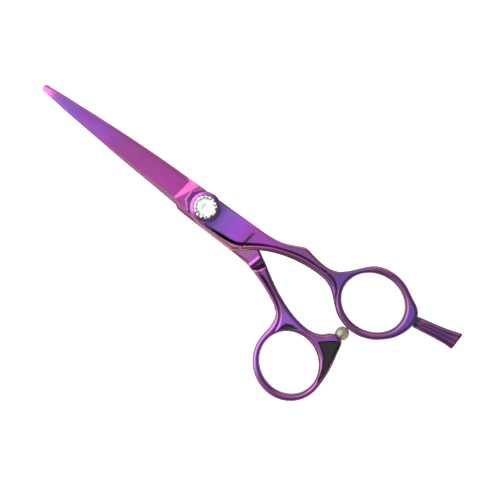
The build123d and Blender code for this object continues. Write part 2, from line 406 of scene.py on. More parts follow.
RIDE = 3.0                    # height of the ride face between the halves
RIDE_GAP = 0.05               # space between the two ride faces
HANDLE_TOP = 6.0              # top of both handles
SHANK_TOP = 5.3               # top of the finger half's shank
SHANK_BACK = 0.7              # back of the thumb half's shank
BEVEL_EDGE = 0.10             # thickness left at the cutting edge
BEVEL_SLOPE = 0.92            # rise of the cutting bevel
BEVEL_LIMITS = (0.3, 0.95)    # least and greatest width of the cutting bevel
HEEL_FACET = (-7.2, 0.478)    # upper edge of the heel's ground facet: X at 1 mm from the axis, and lean
HEEL_SLOPE = 0.48             # rise of that facet
FLAT_END = 16.9               # where the flat on the finger shank ends, on the X axis
FLAT_LEAN = 0.12              # how far that end leans along X for each millimetre of Y
TIP_START = -59.6             # from here the upper surface curves down to the tip
TIP_CURVE = 0.022             # how fast it curves

EDGE_POINTS = 330             # points of the paths that distances are measured to
RING_PATH_POINTS = 521
HOLE_POINTS = 361
CREASE_POINTS = 240

# The blade's thickness at its spine, and how fast it thins towards the cutting edge, along X.
BLADE_SPINE = ((-64.6, 0.95), (-30.0, 1.5), (-9.0, 1.95))
BLADE_SLOPE = ((-64.6, 0.06), (-50.0, 0.10), (-9.0, 0.15))
# Foot of the thumb shoulder's wall: X along Y.
SHOULDER_WALL = ((-8.0, 22.6), (-6.9, 23.7), (-6.1, 24.8), (-4.0, 26.1), (-2.5, 26.7))
# Lean of the strip's columns along X, which follows both edges of the heel's facet.
HEEL_LEAN = ((-14.0, 0.0), (-9.5, 0.141), (-7.68, 0.478), (-1.0, 0.0))


def inside(x: Array, y: Array, loop: Array) -> Array:
    """Whether points lie inside a closed loop: a ray along +X crosses it an odd number of times.

    Args:
        x: places of the points along X.
        y: places of the points along Y.
        loop: corners of the loop, of shape (n, 2).

    Returns:
        True or False for each point.
    """
    x1, y1 = loop[:, 0], loop[:, 1]
    x2, y2 = np.roll(x1, -1), np.roll(y1, -1)
    px, py = np.ravel(x)[:, None], np.ravel(y)[:, None]
    spans = (y1 > py) != (y2 > py)
    rise = np.where(y2 == y1, 1.0, y2 - y1)
    hits = spans & (px < (x2 - x1) * (py - y1) / rise + x1)
    return (hits.sum(1) % 2 == 1).reshape(np.shape(x))


@dataclass(frozen=True)
class Groove:
    """Soft valley along a path, with a bell-shaped section that is wider on one side.

    Depths and widths vary along X. The above side is that of larger Y.
    """

    depths: Points
    below: Points
    above: Points

    def drop(self, x: Array, y: Array, path: Array) -> Array:
        """How far the surface lies below its surroundings.

        It is the depth times the bell curve of the distance from the path over the width.

        Args:
            x: places along the half.
            y: places across it.
            path: points of the valley's bottom line, with X rising.

        Returns:
            One depth for each place.
        """
        away = distance_to(x, y, path)
        upper = y > np.interp(x, path[:, 0], path[:, 1])
        width = np.where(upper, along(self.above, x), along(self.below, x))
        return along(self.depths, x) * np.exp(-((away / width) ** 2))


def along(stations: Points, x: Array) -> Array:
    """Value at x, straight between stations."""
    places, values = np.array(stations, float).T
    return np.interp(x, places, values)


@dataclass(frozen=True)
class Rounding:
    """Rounded edge whose width and depth vary along X."""

    widths: Points
    depths: Points
    fullness: float = 2.0

    def drop(self, x: Array, distance: Array) -> Array:
        """How far the surface lies below its face, at a distance from the outline."""
        return edge_drop(distance, along(self.widths, x), along(self.depths, x), self.fullness)


@dataclass(frozen=True)
class Pocket:
    """Scooped hollow with straight sides, a soft rim and a floor that dips evenly one way."""

    corners: Points
    depth: float
    rim: float
    dip: tuple[float, float]

    def drop(self, x: Array, y: Array) -> Array:
        """How far the surface lies below its surroundings.

        It is the floor's depth, eased in over the rim's width from the sides.

        Args:
            x: places along the half.
            y: places across it.

        Returns:
            One depth for each place, 0 outside the pocket.
        """
        loop = np.array(self.corners, float)
        away = distance_to(x, y, np.concatenate([loop, loop[:1]]))
        middle = loop.mean(0)
        floor = self.depth + self.dip[0] * (x - middle[0]) + self.dip[1] * (y - middle[1])
        return np.where(inside(x, y, loop), floor * ease(away / self.rim), 0.0)


@dataclass(frozen=True)
class Spots:
    """Places on a half seen from above, with their distances to its edges and to its ring's hole."""

    x: Array
    y: Array
    high: Array
    low: Array
    hole: Array


@dataclass
class Half:
    """One forged half: a ground blade, a flat shank, and a handle that ends in a ring.

    Seen from above, it is a strip from the tip to a cut across the handle, and a round grid from
    the ring's outline in to its hole. Both take their heights from the same rules, so they meet
    along the cut without a seam.
    """

    name: str
    body: str
    hole: Oval
    high_edge: Rail
    low_edge: Rail
    round_ring: Points
    crease: Points
    cut_x: float
    side: float
    tip_bulge: float = 0.6
    dense: Sequence[tuple[tuple[float, float], int]] = (((-12.0, -4.0), 66),)
    strip_columns: int = 330
    strip_rows_count: int = 44
    ring_points: int = 520
    ring_rows: int = 58
    back_rows: int = 22
    wall_rows: int = 5
    sharp_degrees: float = 24.0
    bevel_rows: int = 7             # rows of the strip that span the cutting bevel
    crease_rows: int = 11           # rows that follow the crease
    crease_reach: float = 0.75      # how far they reach to each side of it
    crease_margin: float = 0.06     # share of the width kept free beyond them
    outer_share: float = 0.45       # share of the other rows that lie on the crease's outer side
    crowding: float = 1.25          # how much rows crowd towards an edge; 1 is evenly
    tip_length: float = 0.9
    honed_start: float = -7.4
    honed_width: float = 1.35
    edge_reflection: float = 0.45         # strength of the painted rosy reflection along an edge
    outline_knots: Points = field(init=False)
    ring_path: Array = field(init=False)
    high_path: Array = field(init=False)
    low_path: Array = field(init=False)
    hole_path: Array = field(init=False)
    crease_path: Array = field(init=False)

    # ---- heights, given by each half ----

    def top(self, at: Spots) -> Array:
        """Height of the upper surface."""
        raise NotImplementedError

    def bottom(self, at: Spots) -> Array:
        """Height of the lower surface."""
        raise NotImplementedError

    def spots(self, x: Array, y: Array) -> Spots:
        """Measures the distances that the height rules use."""
        return Spots(x, y, *(distance_to(x, y, p) for p in (self.high_path, self.low_path, self.hole_path)))

    def lean(self, x: Array) -> Array:
        """How much the strip's columns lean along X for each millimetre of Y.

        They stand straight, but at the heel they follow the two edges of the ground facet.
        """
        return self.side * along(HEEL_LEAN, x)

    def crease_y(self, x: Array) -> Array:
        """Y of the crease's bottom line at x."""
        return np.interp(x, self.crease_path[:, 0], self.crease_path[:, 1])

    # ---- outlines ----

    def prepare(self) -> None:
        """Works out the outlines that the height rules measure distances to."""
        x = np.linspace(self.high_edge.knots[0][0], self.cut_x, EDGE_POINTS)
        ends = [(self.cut_x, float(edge(np.array(self.cut_x)))) for edge in (self.high_edge, self.low_edge)]
        self.outline_knots = [ends[0], *self.round_ring, ends[1]]
        self.ring_path = path_through(self.outline_knots, RING_PATH_POINTS)
        self.crease_path = path_through(self.crease, CREASE_POINTS)
        low = np.stack([x, self.low_edge(x)], axis=1)
        high = np.stack([x, self.high_edge(x)], axis=1)
        half = len(self.ring_path) // 2
        self.high_path = np.concatenate([high, self.ring_path[1:half]])
        self.low_path = np.concatenate([low, self.ring_path[:half - 2:-1][1:]])
        self.hole_path = self.hole.at(np.linspace(0, 2 * math.pi, HOLE_POINTS))

    def strip_rows(self, x: Array, rows: int) -> Array:
        """Places of the strip's rows, as shares of its width from the outer edge to the inner one.

        Rows stand closer at the edges; some follow the crease and the last ones span the cutting
        bevel, so that both keep clean lines. Between them the share is a power of an even one.

        Args:
            x: places of the columns.
            rows: number of rows.

        Returns:
            Shares of shape (rows, columns), from the low edge to the high one.
        """
        low, high = self.low_edge(x), self.high_edge(x)
        width = high - low
        bevel, reach = self.bevel_width(x) / width, self.crease_reach / width
        crease = (self.crease_y(x) - low) / width
        if self.side < 0:
            crease = 1 - crease
        crease = np.clip(crease, reach + self.crease_margin, 1 - bevel - reach - self.crease_margin)
        start, end = crease - reach, crease + reach
        free = rows - self.bevel_rows - self.crease_rows
        outer = int(free * self.outer_share)
        opening = np.linspace(0, 1, outer + 1)[:-1, None] ** self.crowding
        closing = 1 - np.linspace(1, 0, free - outer + 1)[1:, None] ** self.crowding
        share = np.concatenate([start * opening,
                                start + (end - start) * np.linspace(0, 1, self.crease_rows)[:, None],
                                end + (1 - bevel - end) * closing,
                                1 - bevel * np.linspace(1, 0, self.bevel_rows + 1)[1:, None]])
        return share if self.side > 0 else 1 - share[::-1]

    def bevel_width(self, x: Array) -> Array:
        """Width of the bevel, from the cutting edge to where its plane meets the blade's face.

        Args:
            x: places along the blade.

        Returns:
            One width for each place.
        """
        width = self.high_edge(x) - self.low_edge(x)
        spine, slope = along(BLADE_SPINE, x), along(BLADE_SLOPE, x)
        return np.clip((spine - slope * width - BEVEL_EDGE) / (BEVEL_SLOPE - slope), *BEVEL_LIMITS)

    def strip_places(self, rows: int) -> tuple[Array, Array]:
        """Places of the strip's points.

        A column stands at a place on the X axis and leans by the half's rule; near the tip the
        columns bulge forward into its round end.

        Args:
            rows: number of rows.

        Returns:
            X and Y, each of shape (rows, columns).
        """
        start = self.high_edge.knots[0][0]
        stations = start + (self.cut_x - start) * np.linspace(0, 1, self.strip_columns)
        for span, columns in self.dense:
            stations = stations[(stations < span[0]) | (stations > span[1])]
            stations = np.unique(np.concatenate([stations, np.linspace(*span, columns)]))
        share = self.strip_rows(stations, rows)
        x = np.broadcast_to(stations, share.shape).copy()
        for _ in range(3):
            low, high = self.low_edge(x), self.high_edge(x)
            y = low + share * (high - low)
            x = stations + self.lean(stations) * y
        bulge = self.tip_bulge * np.exp(-((stations - start) / self.tip_length) ** 2)
        return x - bulge * (1 - (2 * share - 1) ** 2), y

    def ring_places(self, column: Array, rows: int) -> tuple[Array, Array]:
        """Places of the ring's points.

        The outer points run round the outline and back across the cut; each is joined by a
        straight row to the hole's point in nearly the same direction from its centre. Those
        directions are the outer points' own, with their steps blurred along the outline.

        Args:
            column: the strip's last column, from the low edge to the high edge.
            rows: number of points from the outline to the hole.

        Returns:
            X and Y, each of shape (points round the ring, rows).
        """
        outline = path_through(self.outline_knots, self.ring_points)
        outer = np.concatenate([outline[:-1], column[:-1]])
        offset = outer - np.array(self.hole.centre)
        angle = np.unwrap(np.arctan2(offset[:, 1], offset[:, 0]))
        steps = np.diff(np.append(angle, angle[0] - 2 * math.pi))
        blur_reach, blur_width = 24, 11.0
        weights = np.exp(-(np.arange(-blur_reach, blur_reach + 1) / blur_width) ** 2)
        wrapped = np.concatenate([steps[-blur_reach:], steps, steps[:blur_reach]])
        smooth = np.convolve(wrapped, weights / weights.sum(), mode="valid")
        smooth *= -2 * math.pi / smooth.sum()
        eased = angle[0] + np.concatenate([[0], np.cumsum(smooth)[:-1]])
        inner = self.hole.at(eased + np.mean(angle - eased))
        width = np.linalg.norm(outer - inner, axis=1)[:, None]
        edge_band, edge_share = 1.7, 0.42
        near = np.minimum(edge_band, edge_share * width) / width
        side = rows // 3
        edge = np.linspace(0, 1, side + 1)[None, :] ** self.crowding
        middle = np.linspace(0, 1, rows - 2 * side)[None, 1:-1]
        share = np.concatenate([near * edge, near + (1 - 2 * near) * middle, 1 - near * edge[:, ::-1]],
                               axis=1)
        place = outer[:, None, :] + share[..., None] * (inner - outer)[:, None, :]
        return place[..., 0], place[..., 1]

    # ---- the mesh ----

    def build(self) -> bpy.types.Object:
        """Makes the half as one closed mesh.

        Returns:
            The object, riding on its body in place of its CAD node.
        """
        self.prepare()
        shell = Shell(self.name, masks=self.masks())
        x, y = self.strip_places(self.strip_rows_count)
        upper, lower = self.surface(x, y, self.top), self.surface(x, y, self.bottom)
        shell.add(upper)
        shell.add(lower)
        for line in (np.s_[0], np.s_[-1], np.s_[:, 0]):
            shell.add(self.wall(upper[line], lower[line]))
        column = upper[:, -1, :2]
        back = self.surface(*self.ring_places(column, self.back_rows), self.bottom)
        front = self.surface(*self.ring_places(column, self.ring_rows), self.top)
        shell.add(back, closed_rows=True)
        shell.add(front, closed_rows=True)
        shell.add(self.wall(front[:, -1], back[:, -1]), closed_columns=True)
        shell.add(self.wall(front[:self.ring_points, 0], back[:self.ring_points, 0]))
        return placed(shell.to_object(self.sharp_degrees), self.body, Slot.COATED, self.name)

    def surface(self, x: Array, y: Array, height: Callable[[Spots], Array]) -> Array:
        """Points over a grid of places, at the height that a rule gives."""
        return np.stack([x, y, height(self.spots(x, y))], -1)

    def wall(self, upper: Array, lower: Array) -> Array:
        """Upright wall down from a line of the upper surface to the lower one.

        Args:
            upper: points of the upper surface, of shape (n, 3).
            lower: points of the lower surface under them.

        Returns:
            Points of shape (rows, n, 3), evenly spaced in height.
        """
        share = np.linspace(0, 1, self.wall_rows)[:, None]
        z = upper[:, 2] + share * (lower[:, 2] - upper[:, 2])
        x, y = (np.broadcast_to(upper[:, axis], z.shape) for axis in (0, 1))
        return np.stack([x, y, z], -1)

    def masks(self) -> dict[str, Callable[[Array], Array]]:
        """Vertex masks for the finish: the honed strip, the painted shade in the hollows and the painted
        rosy reflection.
        """
        return {"honed": self.honed, "hollow": self.hollow, "warm": self.warm}

    def warm(self, points: Array) -> Array:
        """Painted rosy reflection, given by each half."""
        raise NotImplementedError

    def hollow(self, points: Array) -> Array:
        """Painted shade in the handle's hollows, given by each half."""
        raise NotImplementedError

    def honed(self, points: Array) -> Array:
        """1 on the honed strip of the ride face behind the cutting edge, 0 elsewhere.

        Args:
            points: places of shape (n, 3).

        Returns:
            One share for each place.
        """
        x, y, z = points.T
        path = self.high_path if self.side > 0 else self.low_path
        share = np.zeros(len(points))
        ride = RIDE + (RIDE_GAP if self.side > 0 else 0.0)
        close = (x < self.honed_start) & (np.abs(z - ride) < BEVEL_EDGE + 0.01)
        share[close] = distance_to(x[close], y[close], path) < self.honed_width
        return share

    # ---- the ground blade ----

    def ground(self, x: Array, y: Array, cutting: Array, side: float, shank: float) -> Array:
        """Thickness of the blade and ricasso, measured from the ride face.

        The blade's face is a plane that falls from the spine to a bevel behind the cutting edge;
        at the heel a flat facet rises from it to the ricasso. The lowest rule counts, except that
        the facet lies on the blade's face.

        Args:
            x: places along the blade.
            y: places across it.
            cutting: distance from the cutting edge.
            side: +1 where the cutting edge faces +Y, -1 where it faces -Y.
            shank: thickness of the ricasso and shank.

        Returns:
            One thickness for each place.
        """
        width = self.high_edge(x) - self.low_edge(x)
        spine, slope = along(BLADE_SPINE, x), along(BLADE_SLOPE, x)
        face = spine - slope * (width - cutting)
        middle = 0.5 * (self.high_edge(x) + self.low_edge(x))
        crown_height = 0.05
        crown = crown_height * (1 - ((y - middle) / (0.5 * width)) ** 2)
        bevel = BEVEL_EDGE + BEVEL_SLOPE * cutting
        facet_line = HEEL_FACET[0] + HEEL_FACET[1] * (side * y - 1.0)
        facet = shank - HEEL_SLOPE * (facet_line - x) / math.hypot(1, HEEL_FACET[1])
        blade = np.minimum(face + crown, bevel)
        ground = np.maximum(np.minimum(blade, shank), np.minimum(facet, shank))
        return np.where(x < facet_line, ground, shank)


# Blade, heel and handle edges of each half, chosen along X.
FINGER_HIGH = Rail([(-64.0, 1.40), (-60.0, 1.81), (-52.0, 2.41), (-44.0, 3.01), (-36.0, 3.52), (-28.0, 3.92),
                    (-20.0, 4.22), (-8.0, 4.42), (4.0, 4.55), (20.0, 4.78), (24.0, 5.10), (28.0, 6.23),
                    (31.0, 7.65), (33.7, 8.75), (36.5, 8.30), (40.0, 7.81), (42.0, 7.75), (44.0, 7.94)])
FINGER_LOW = Rail([(-64.0, -0.85), (-57.0, -1.45), (-51.3, -1.99), (-41.3, -2.58), (-31.4, -2.98),
                   (-19.5, -3.13), (-11.5, -3.28), (-5.6, -3.98), (-2.0, -5.0), (3.0, -5.85), (9.0, -6.15),
                   (14.4, -6.15), (16.1, -5.2), (18.3, -3.45), (20.3, -1.85), (22.3, -0.6), (26.0, 1.2),
                   (30.0, 2.62), (34.0, 3.55), (38.0, 4.08), (41.0, 4.22), (44.0, 4.05)])
FINGER_HOLE = Oval((60.97, 7.35), 10.55, 9.03, 5.0)
FINGER_RIM = Oval((60.97, 7.35), 12.85, 11.55, 5.0)
FINGER_ROUND = ([(46.0, 8.65), (48.0, 10.15), (50.0, 12.3), (52.0, 14.7)] + FINGER_RIM.arc(116, 62)
                + [(70.0, 16.05), (73.0, 14.5), (74.7, 12.7), (75.3, 10.4), (75.3, 8.4), (74.6, 5.6),
                   (72.9, 2.3)] + FINGER_RIM.arc(318, 232)
                + [(50.6, 0.2), (48.0, 2.41), (46.0, 3.50)])
FINGER_CREASE = [(2.4, -4.8), (8.4, -4.3), (12.3, -3.95), (15.0, -3.3), (17.6, -1.6), (20.3, 0.2),
                 (24.3, 2.45), (28.2, 3.95), (32.2, 5.2), (36.2, 5.9), (42.0, 6.15), (46.1, 5.9),
                 (48.1, 4.9), (49.6, 3.2), (50.6, 1.2), (51.9, -0.8), (53.6, -2.2)]

THUMB_HIGH = Rail([(-64.0, 1.2), (-51.0, 1.9), (-31.0, 2.8), (-12.0, 3.3), (-2.0, 4.0), (14.0, 4.1),
                   (18.3, 1.9), (22.3, -0.95), (26.0, -3.0), (30.0, -5.4), (34.0, -7.55), (36.0, -8.48)])
THUMB_LOW = Rail([(-64.0, -0.87), (-60.0, -1.31), (-52.0, -2.08), (-44.0, -2.68), (-36.0, -3.29),
                  (-28.0, -3.86), (-20.0, -4.26), (-12.0, -4.73), (-8.4, -5.0), (-7.9, -5.2), (-7.0, -5.80),
                  (-4.0, -6.0), (4.0, -6.17), (12.0, -6.34), (20.0, -6.64), (24.0, -7.48), (28.0, -8.72),
                  (32.0, -10.26), (36.0, -12.15)])
THUMB_HOLE = Oval((50.74, -23.94), 10.2, 9.24, -24.0)
THUMB_RIM = Oval((50.74, -23.94), 12.35, 11.6, -35.0)
THUMB_ROUND = ([(40.0, -10.06), (44.0, -11.2), (48.0, -11.75), (50.5, -11.7), (52.5, -11.15),
                (54.2, -10.2), (56.0, -8.5), (57.2, -8.0), (59.0, -8.0), (60.1, -8.5), (61.2, -11.4),
                (62.2, -16.0), (62.8, -20.5)] + THUMB_RIM.arc(-3, -176)
               + [(38.85, -20.5), (39.0, -18.0), (38.8, -16.0), (38.2, -14.2), (37.2, -13.0)])
THUMB_CREASE = [(25.6, -6.3), (28.2, -7.15), (32.2, -8.75), (36.2, -10.8), (38.6, -12.6), (40.2, -14.7),
                (41.0, -17.0), (41.0, -19.5)]


@dataclass
class FingerHalf(Half):
    """Upper half, which the dial sits on, with the flat on its shank and the boss on its ring."""

    high_round: Rounding = Rounding(
        widths=((-6, 0.5), (8, 0.7), (20, 0.8), (30, 1.0), (46, 1.0), (52, 1.4)),
        depths=((-9, 0), (-6, 0.35), (4, 0.6), (20, 0.8), (30, 0.95), (46, 1.0), (52, 1.25)))
    low_round: Rounding = Rounding(
        widths=((-64, 0.2), (-8, 0.3), (2, 1.2), (20, 1.6), (46, 1.9), (52, 1.4)),
        depths=((-64, 0.12), (-8, 0.2), (0, 0.8), (8, 1.1), (20, 1.2), (50, 1.25)))
    hole_round: Rounding = Rounding(((0, 1.25),), ((0, 1.4),), 1.8)
    groove: Groove = Groove(
        depths=((2, 0.0), (6, 0.45), (10, 0.9), (18, 0.85), (25, 0.42), (46, 0.4), (50.5, 0.4), (53, 0.0)),
        below=((2, 0.25), (10, 0.42), (18, 0.4), (26, 0.36), (50, 0.36)),
        above=((2, 0.25), (10, 0.42), (18, 0.28), (26, 0.22), (50, 0.24)))
    flat_edge: Points = ((4.0, 3.9), (8.0, 3.5), (12.0, 2.9), (15.0, 2.3), (17.2, 1.5))
    flat_rim: float = 4.6                         # Y where the bank beside the flat is highest
    bank_share: float = 0.62                      # that height, as a share of the handle's rise
    bank_span: tuple[float, float] = (5.0, 13.0)  # where the bank starts along X, and its run
    end_run: float = 0.35                         # run of the step at the flat's end
    handle_span: tuple[float, float] = (26.2, 2.6)
    back_round: float = 1.2
    # Strengths of the painted shade in the crease, along X, and along the end of the flat.
    crease_shades: Points = ((14, 1.0), (22, 0.35), (54, 0.2))
    end_shade: float = 0.85
    # Strength of the painted rosy reflection on the band below the crease.
    band_reflection: float = 0.8

    def top(self, at: Spots) -> Array:
        """Blade, level shank, handle that rises from the flat, and rounded edges with a crease.

        Args:
            at: places and their distances to the outlines.

        Returns:
            One height for each place.
        """
        x, y = at.x, at.y
        flat_edge = along(self.flat_edge, x)
        bank = np.clip((y - flat_edge) / (self.flat_rim - flat_edge), 0, 1) * self.bank_share
        beside = bank * ease((x - self.bank_span[0]) / self.bank_span[1])
        beyond = ease((x - FLAT_END - FLAT_LEAN * y) / self.end_run)
        rise = (HANDLE_TOP - SHANK_TOP) * np.maximum(beside, beyond)
        face = RIDE + RIDE_GAP + self.ground(x, y, at.high, 1.0, SHANK_TOP - RIDE - RIDE_GAP) + rise
        tip = TIP_CURVE * np.clip(TIP_START - x, 0, None) ** 2
        edges = np.maximum(self.high_round.drop(x, at.high), self.low_round.drop(x, at.low))
        return face - edges - self.hole_round.drop(x, at.hole) - self.grooves(x, y) - tip

    def grooves(self, x: Array, y: Array) -> Array:
        """The crease that runs from the dial along the handle to the ring."""
        return self.groove.drop(x, y, self.crease_path)

    def hollow(self, points: Array) -> Array:
        """Painted shade in the crease and along the step at the end of the flat.

        Each share falls smoothly to 0 away from its line. The flat's end fades before the
        shank's high edge and before the crease.

        Args:
            points: places of shape (n, 3).

        Returns:
            One share for each place.
        """
        x, y, z = points.T
        share = np.zeros(len(points))
        close = (x > 2.0) & (x < 54.0) & (z > RIDE + 0.3)
        px, py = x[close], y[close]
        away = np.abs(px - FLAT_END - FLAT_LEAN * py - 0.1) / np.where(px < FLAT_END, 0.9, 0.6)
        fade_high, fade_crease = ease((3.4 - py) / 1.8), ease((py - self.crease_y(px)) / 0.8)
        end = ease((1 - away) * 1.6) * fade_high * fade_crease
        crease = ease(self.grooves(px, py) / 0.55) * along(self.crease_shades, px)
        share[close] = np.maximum(crease, self.end_shade * end)
        return share

    def warm(self, points: Array) -> Array:
        """Painted rosy reflection on the band below the crease near the pivot, and along the handle's upper
        edge.

        Args:
            points: places of shape (n, 3).

        Returns:
            One share for each place of the strip, and 0 on the ring.
        """
        x, y, _ = points.T
        band = ease((self.crease_y(x) - y) / 0.5)
        band = band * ease((x + 6.0) / 4.0) * (1 - 0.85 * ease((x - 18.0) / 8.0))
        edge = ease((y - self.high_edge(x) + 0.75) / 0.6) * ease((x + 9.0) / 2.0)
        return np.maximum(self.band_reflection * band, self.edge_reflection * edge) * (x < self.cut_x + 0.01)

    def bottom(self, at: Spots) -> Array:
        """Ride face under the blade and shank, and the handle's rounded back beyond it.

        Args:
            at: places and their distances to the outlines.

        Returns:
            One height for each place.
        """
        handle = ease((at.x - self.handle_span[0]) / self.handle_span[1])
        face = (RIDE + RIDE_GAP) * (1 - handle)
        outer = edge_drop(np.minimum(at.high, at.low), self.back_round, self.back_round * handle)
        return face + (outer + edge_drop(at.hole, 1.1, 1.3))


@dataclass
class ThumbHalf(Half):
    """Lower half, with the shoulder behind the finger half's shank and the horn on its ring."""

    high_round: Rounding = Rounding(
        widths=((24, 1.2), (30, 1.7), (44, 1.6), (50, 1.3)),
        depths=((18, 0.0), (24, 0.7), (30, 1.2)))
    low_round: Rounding = Rounding(
        widths=((-8, 1.2), (26, 1.6), (34, 1.9), (38, 1.3)),
        depths=((-8, 0.0), (-7, 0.6), (18, 0.6), (26, 1.2), (38, 1.25)))
    hole_round: Rounding = Rounding(((0, 1.2),), ((0, 1.3),), 1.8)
    groove: Groove = Groove(
        depths=((25.8, 0.0), (27.6, 0.6), (37, 0.6), (40.5, 0.35), (41.5, 0.2)),
        below=((24, 0.4), (42, 0.4)),
        above=((24, 0.3), (42, 0.3)))
    horn_pocket: Pocket = Pocket(
        corners=((59.6, -8.8), (57.0, -10.6), (54.0, -13.1), (56.4, -14.5), (58.6, -16.2), (60.3, -19.6),
                 (61.7, -24.4), (62.0, -19.2), (61.4, -14.3), (60.6, -9.8)),
        depth=0.6, rim=0.35, dip=(0.05, 0.0))
    web_pocket: Pocket = Pocket(
        corners=((42.4, -14.4), (44.6, -13.4), (47.9, -13.4), (45.2, -15.3), (43.2, -16.8), (41.5, -18.2),
                 (41.7, -16.2)),
        depth=0.4, rim=0.9, dip=(0.0, 0.0))
    crest_at: tuple[float, float] = (22.35, -5.8)   # a point of the first step's crest, which slants
    crest_lean: float = 0.26
    step_rise: float = 0.26
    step_fall: float = 0.2
    shoulder_run: float = 2.6                       # run of the shoulder's wall
    shoulder_start: float = 0.34                    # share of the wall in front of its foot
    shoulder_fullness: float = 2.8
    shoulder_sink: float = 0.12                     # how far the handle stays below its top
    handle_span: tuple[float, float] = (19.0, 5.0)
    back_round: float = 1.2
    back_depths: Points = ((-9.0, 0.0), (-6.0, 0.4), (20.0, 0.8), (30.0, 1.2))
    # Strengths of the painted shade in the crease and between the shoulder's steps.
    crease_shade: float = 0.45
    step_shade: float = 0.9

    def crest(self, y: Array) -> Array:
        """X of the first step's crest at y."""
        return self.crest_at[0] + self.crest_lean * (y - self.crest_at[1])

    def top(self, at: Spots) -> Array:
        """Ride face, the two steps of the shoulder, and the handle with its crease and pockets.

        The first step rises to its crest and falls behind it. The second is a wall that bends
        over into the handle: 1 less a power of what is left of its run.

        Args:
            at: places and their distances to the outlines.

        Returns:
            One height for each place.
        """
        x, y = at.x, at.y
        crest = self.crest(y)
        first = (self.step_rise * ease((x - crest + 0.65) / 1.05)
                 - self.step_fall * ease((x - crest - 0.4) / 0.9))
        wall = (x - along(SHOULDER_WALL, y)) / self.shoulder_run + self.shoulder_start
        bend = 1 - (1 - np.clip(wall, 0, 1)) ** self.shoulder_fullness
        second = (HANDLE_TOP - RIDE - self.shoulder_sink) * bend
        face = RIDE + first + second
        edges = np.maximum(self.high_round.drop(x, at.high), self.low_round.drop(x, at.low))
        return face - edges - self.hole_round.drop(x, at.hole) - self.grooves(x, y) - self.pockets(x, y)

    def pockets(self, x: Array, y: Array) -> Array:
        """Depth of the two pockets at the ring."""
        return self.horn_pocket.drop(x, y) + self.web_pocket.drop(x, y)

    def grooves(self, x: Array, y: Array) -> Array:
        """The crease that runs from the shoulder along the handle to the ring."""
        return self.groove.drop(x, y, self.crease_path)

    def hollow(self, points: Array) -> Array:
        """Painted shade in the two pockets, in the crease and between the shoulder's steps.

        Args:
            points: places of shape (n, 3).

        Returns:
            One share for each place.
        """
        x, y, z = points.T
        share = np.zeros(len(points))
        close = (x > 21.0) & (z > RIDE)
        px, py = x[close], y[close]
        past_crest, before_wall = px - self.crest(py) - 0.4, along(SHOULDER_WALL, py) - px - 0.1
        step = ease(past_crest / 0.4) * ease(before_wall / 0.35)
        crease = self.crease_shade * ease(self.grooves(px, py) / 0.5)
        share[close] = np.maximum.reduce([ease(self.pockets(px, py) / 0.2), crease, self.step_shade * step])
        return share

    def warm(self, points: Array) -> Array:
        """Painted rosy reflection along the handle's outer edge.

        Args:
            points: places of shape (n, 3).

        Returns:
            One share for each place of the strip, and 0 on the ring.
        """
        x, y, _ = points.T
        edge = ease((self.low_edge(x) + 0.8 - y) / 0.6) * ease((x - 18.0) / 4.0)
        return self.edge_reflection * edge * (x < self.cut_x + 0.01)

    def bottom(self, at: Spots) -> Array:
        """Outer face of the ground blade, level shank and rounded handle, mirrored below.

        Args:
            at: places and their distances to the outlines.

        Returns:
            One height for each place.
        """
        x = at.x
        handle = ease((x - self.handle_span[0]) / self.handle_span[1])
        face = RIDE - self.ground(x, at.y, at.low, -1.0, RIDE - SHANK_BACK) - SHANK_BACK * handle
        outer = edge_drop(np.minimum(at.high, at.low), self.back_round, along(self.back_depths, x))
        return face + (outer + edge_drop(at.hole, 1.1, 1.3))


# ---------------------------------------------------------------------------------------------
# Pivot: seat plate, tension dial and stone
# ---------------------------------------------------------------------------------------------


def offset_loop(corners: Array, inward: float) -> Array:
    """Corners of a convex loop moved inwards, each along its two sides' normals.

    Args:
        corners: loop of shape (n, 2), anticlockwise.
        inward: distance that every side moves.

    Returns:
        The moved corners, of shape (n, 2).
    """
    before, after = corners - np.roll(corners, 1, axis=0), np.roll(corners, -1, axis=0) - corners
    sides = [np.stack([-v[:, 1], v[:, 0]], 1) / np.linalg.norm(v, axis=1)[:, None]
             for v in (before, after)]
    middle = sides[0] + sides[1]
    return corners + inward * middle / (middle * sides[0]).sum(1)[:, None]


STONE_TURN = math.radians(11.25)
SIXTEENTHS = STONE_TURN + np.arange(16) * math.pi / 8


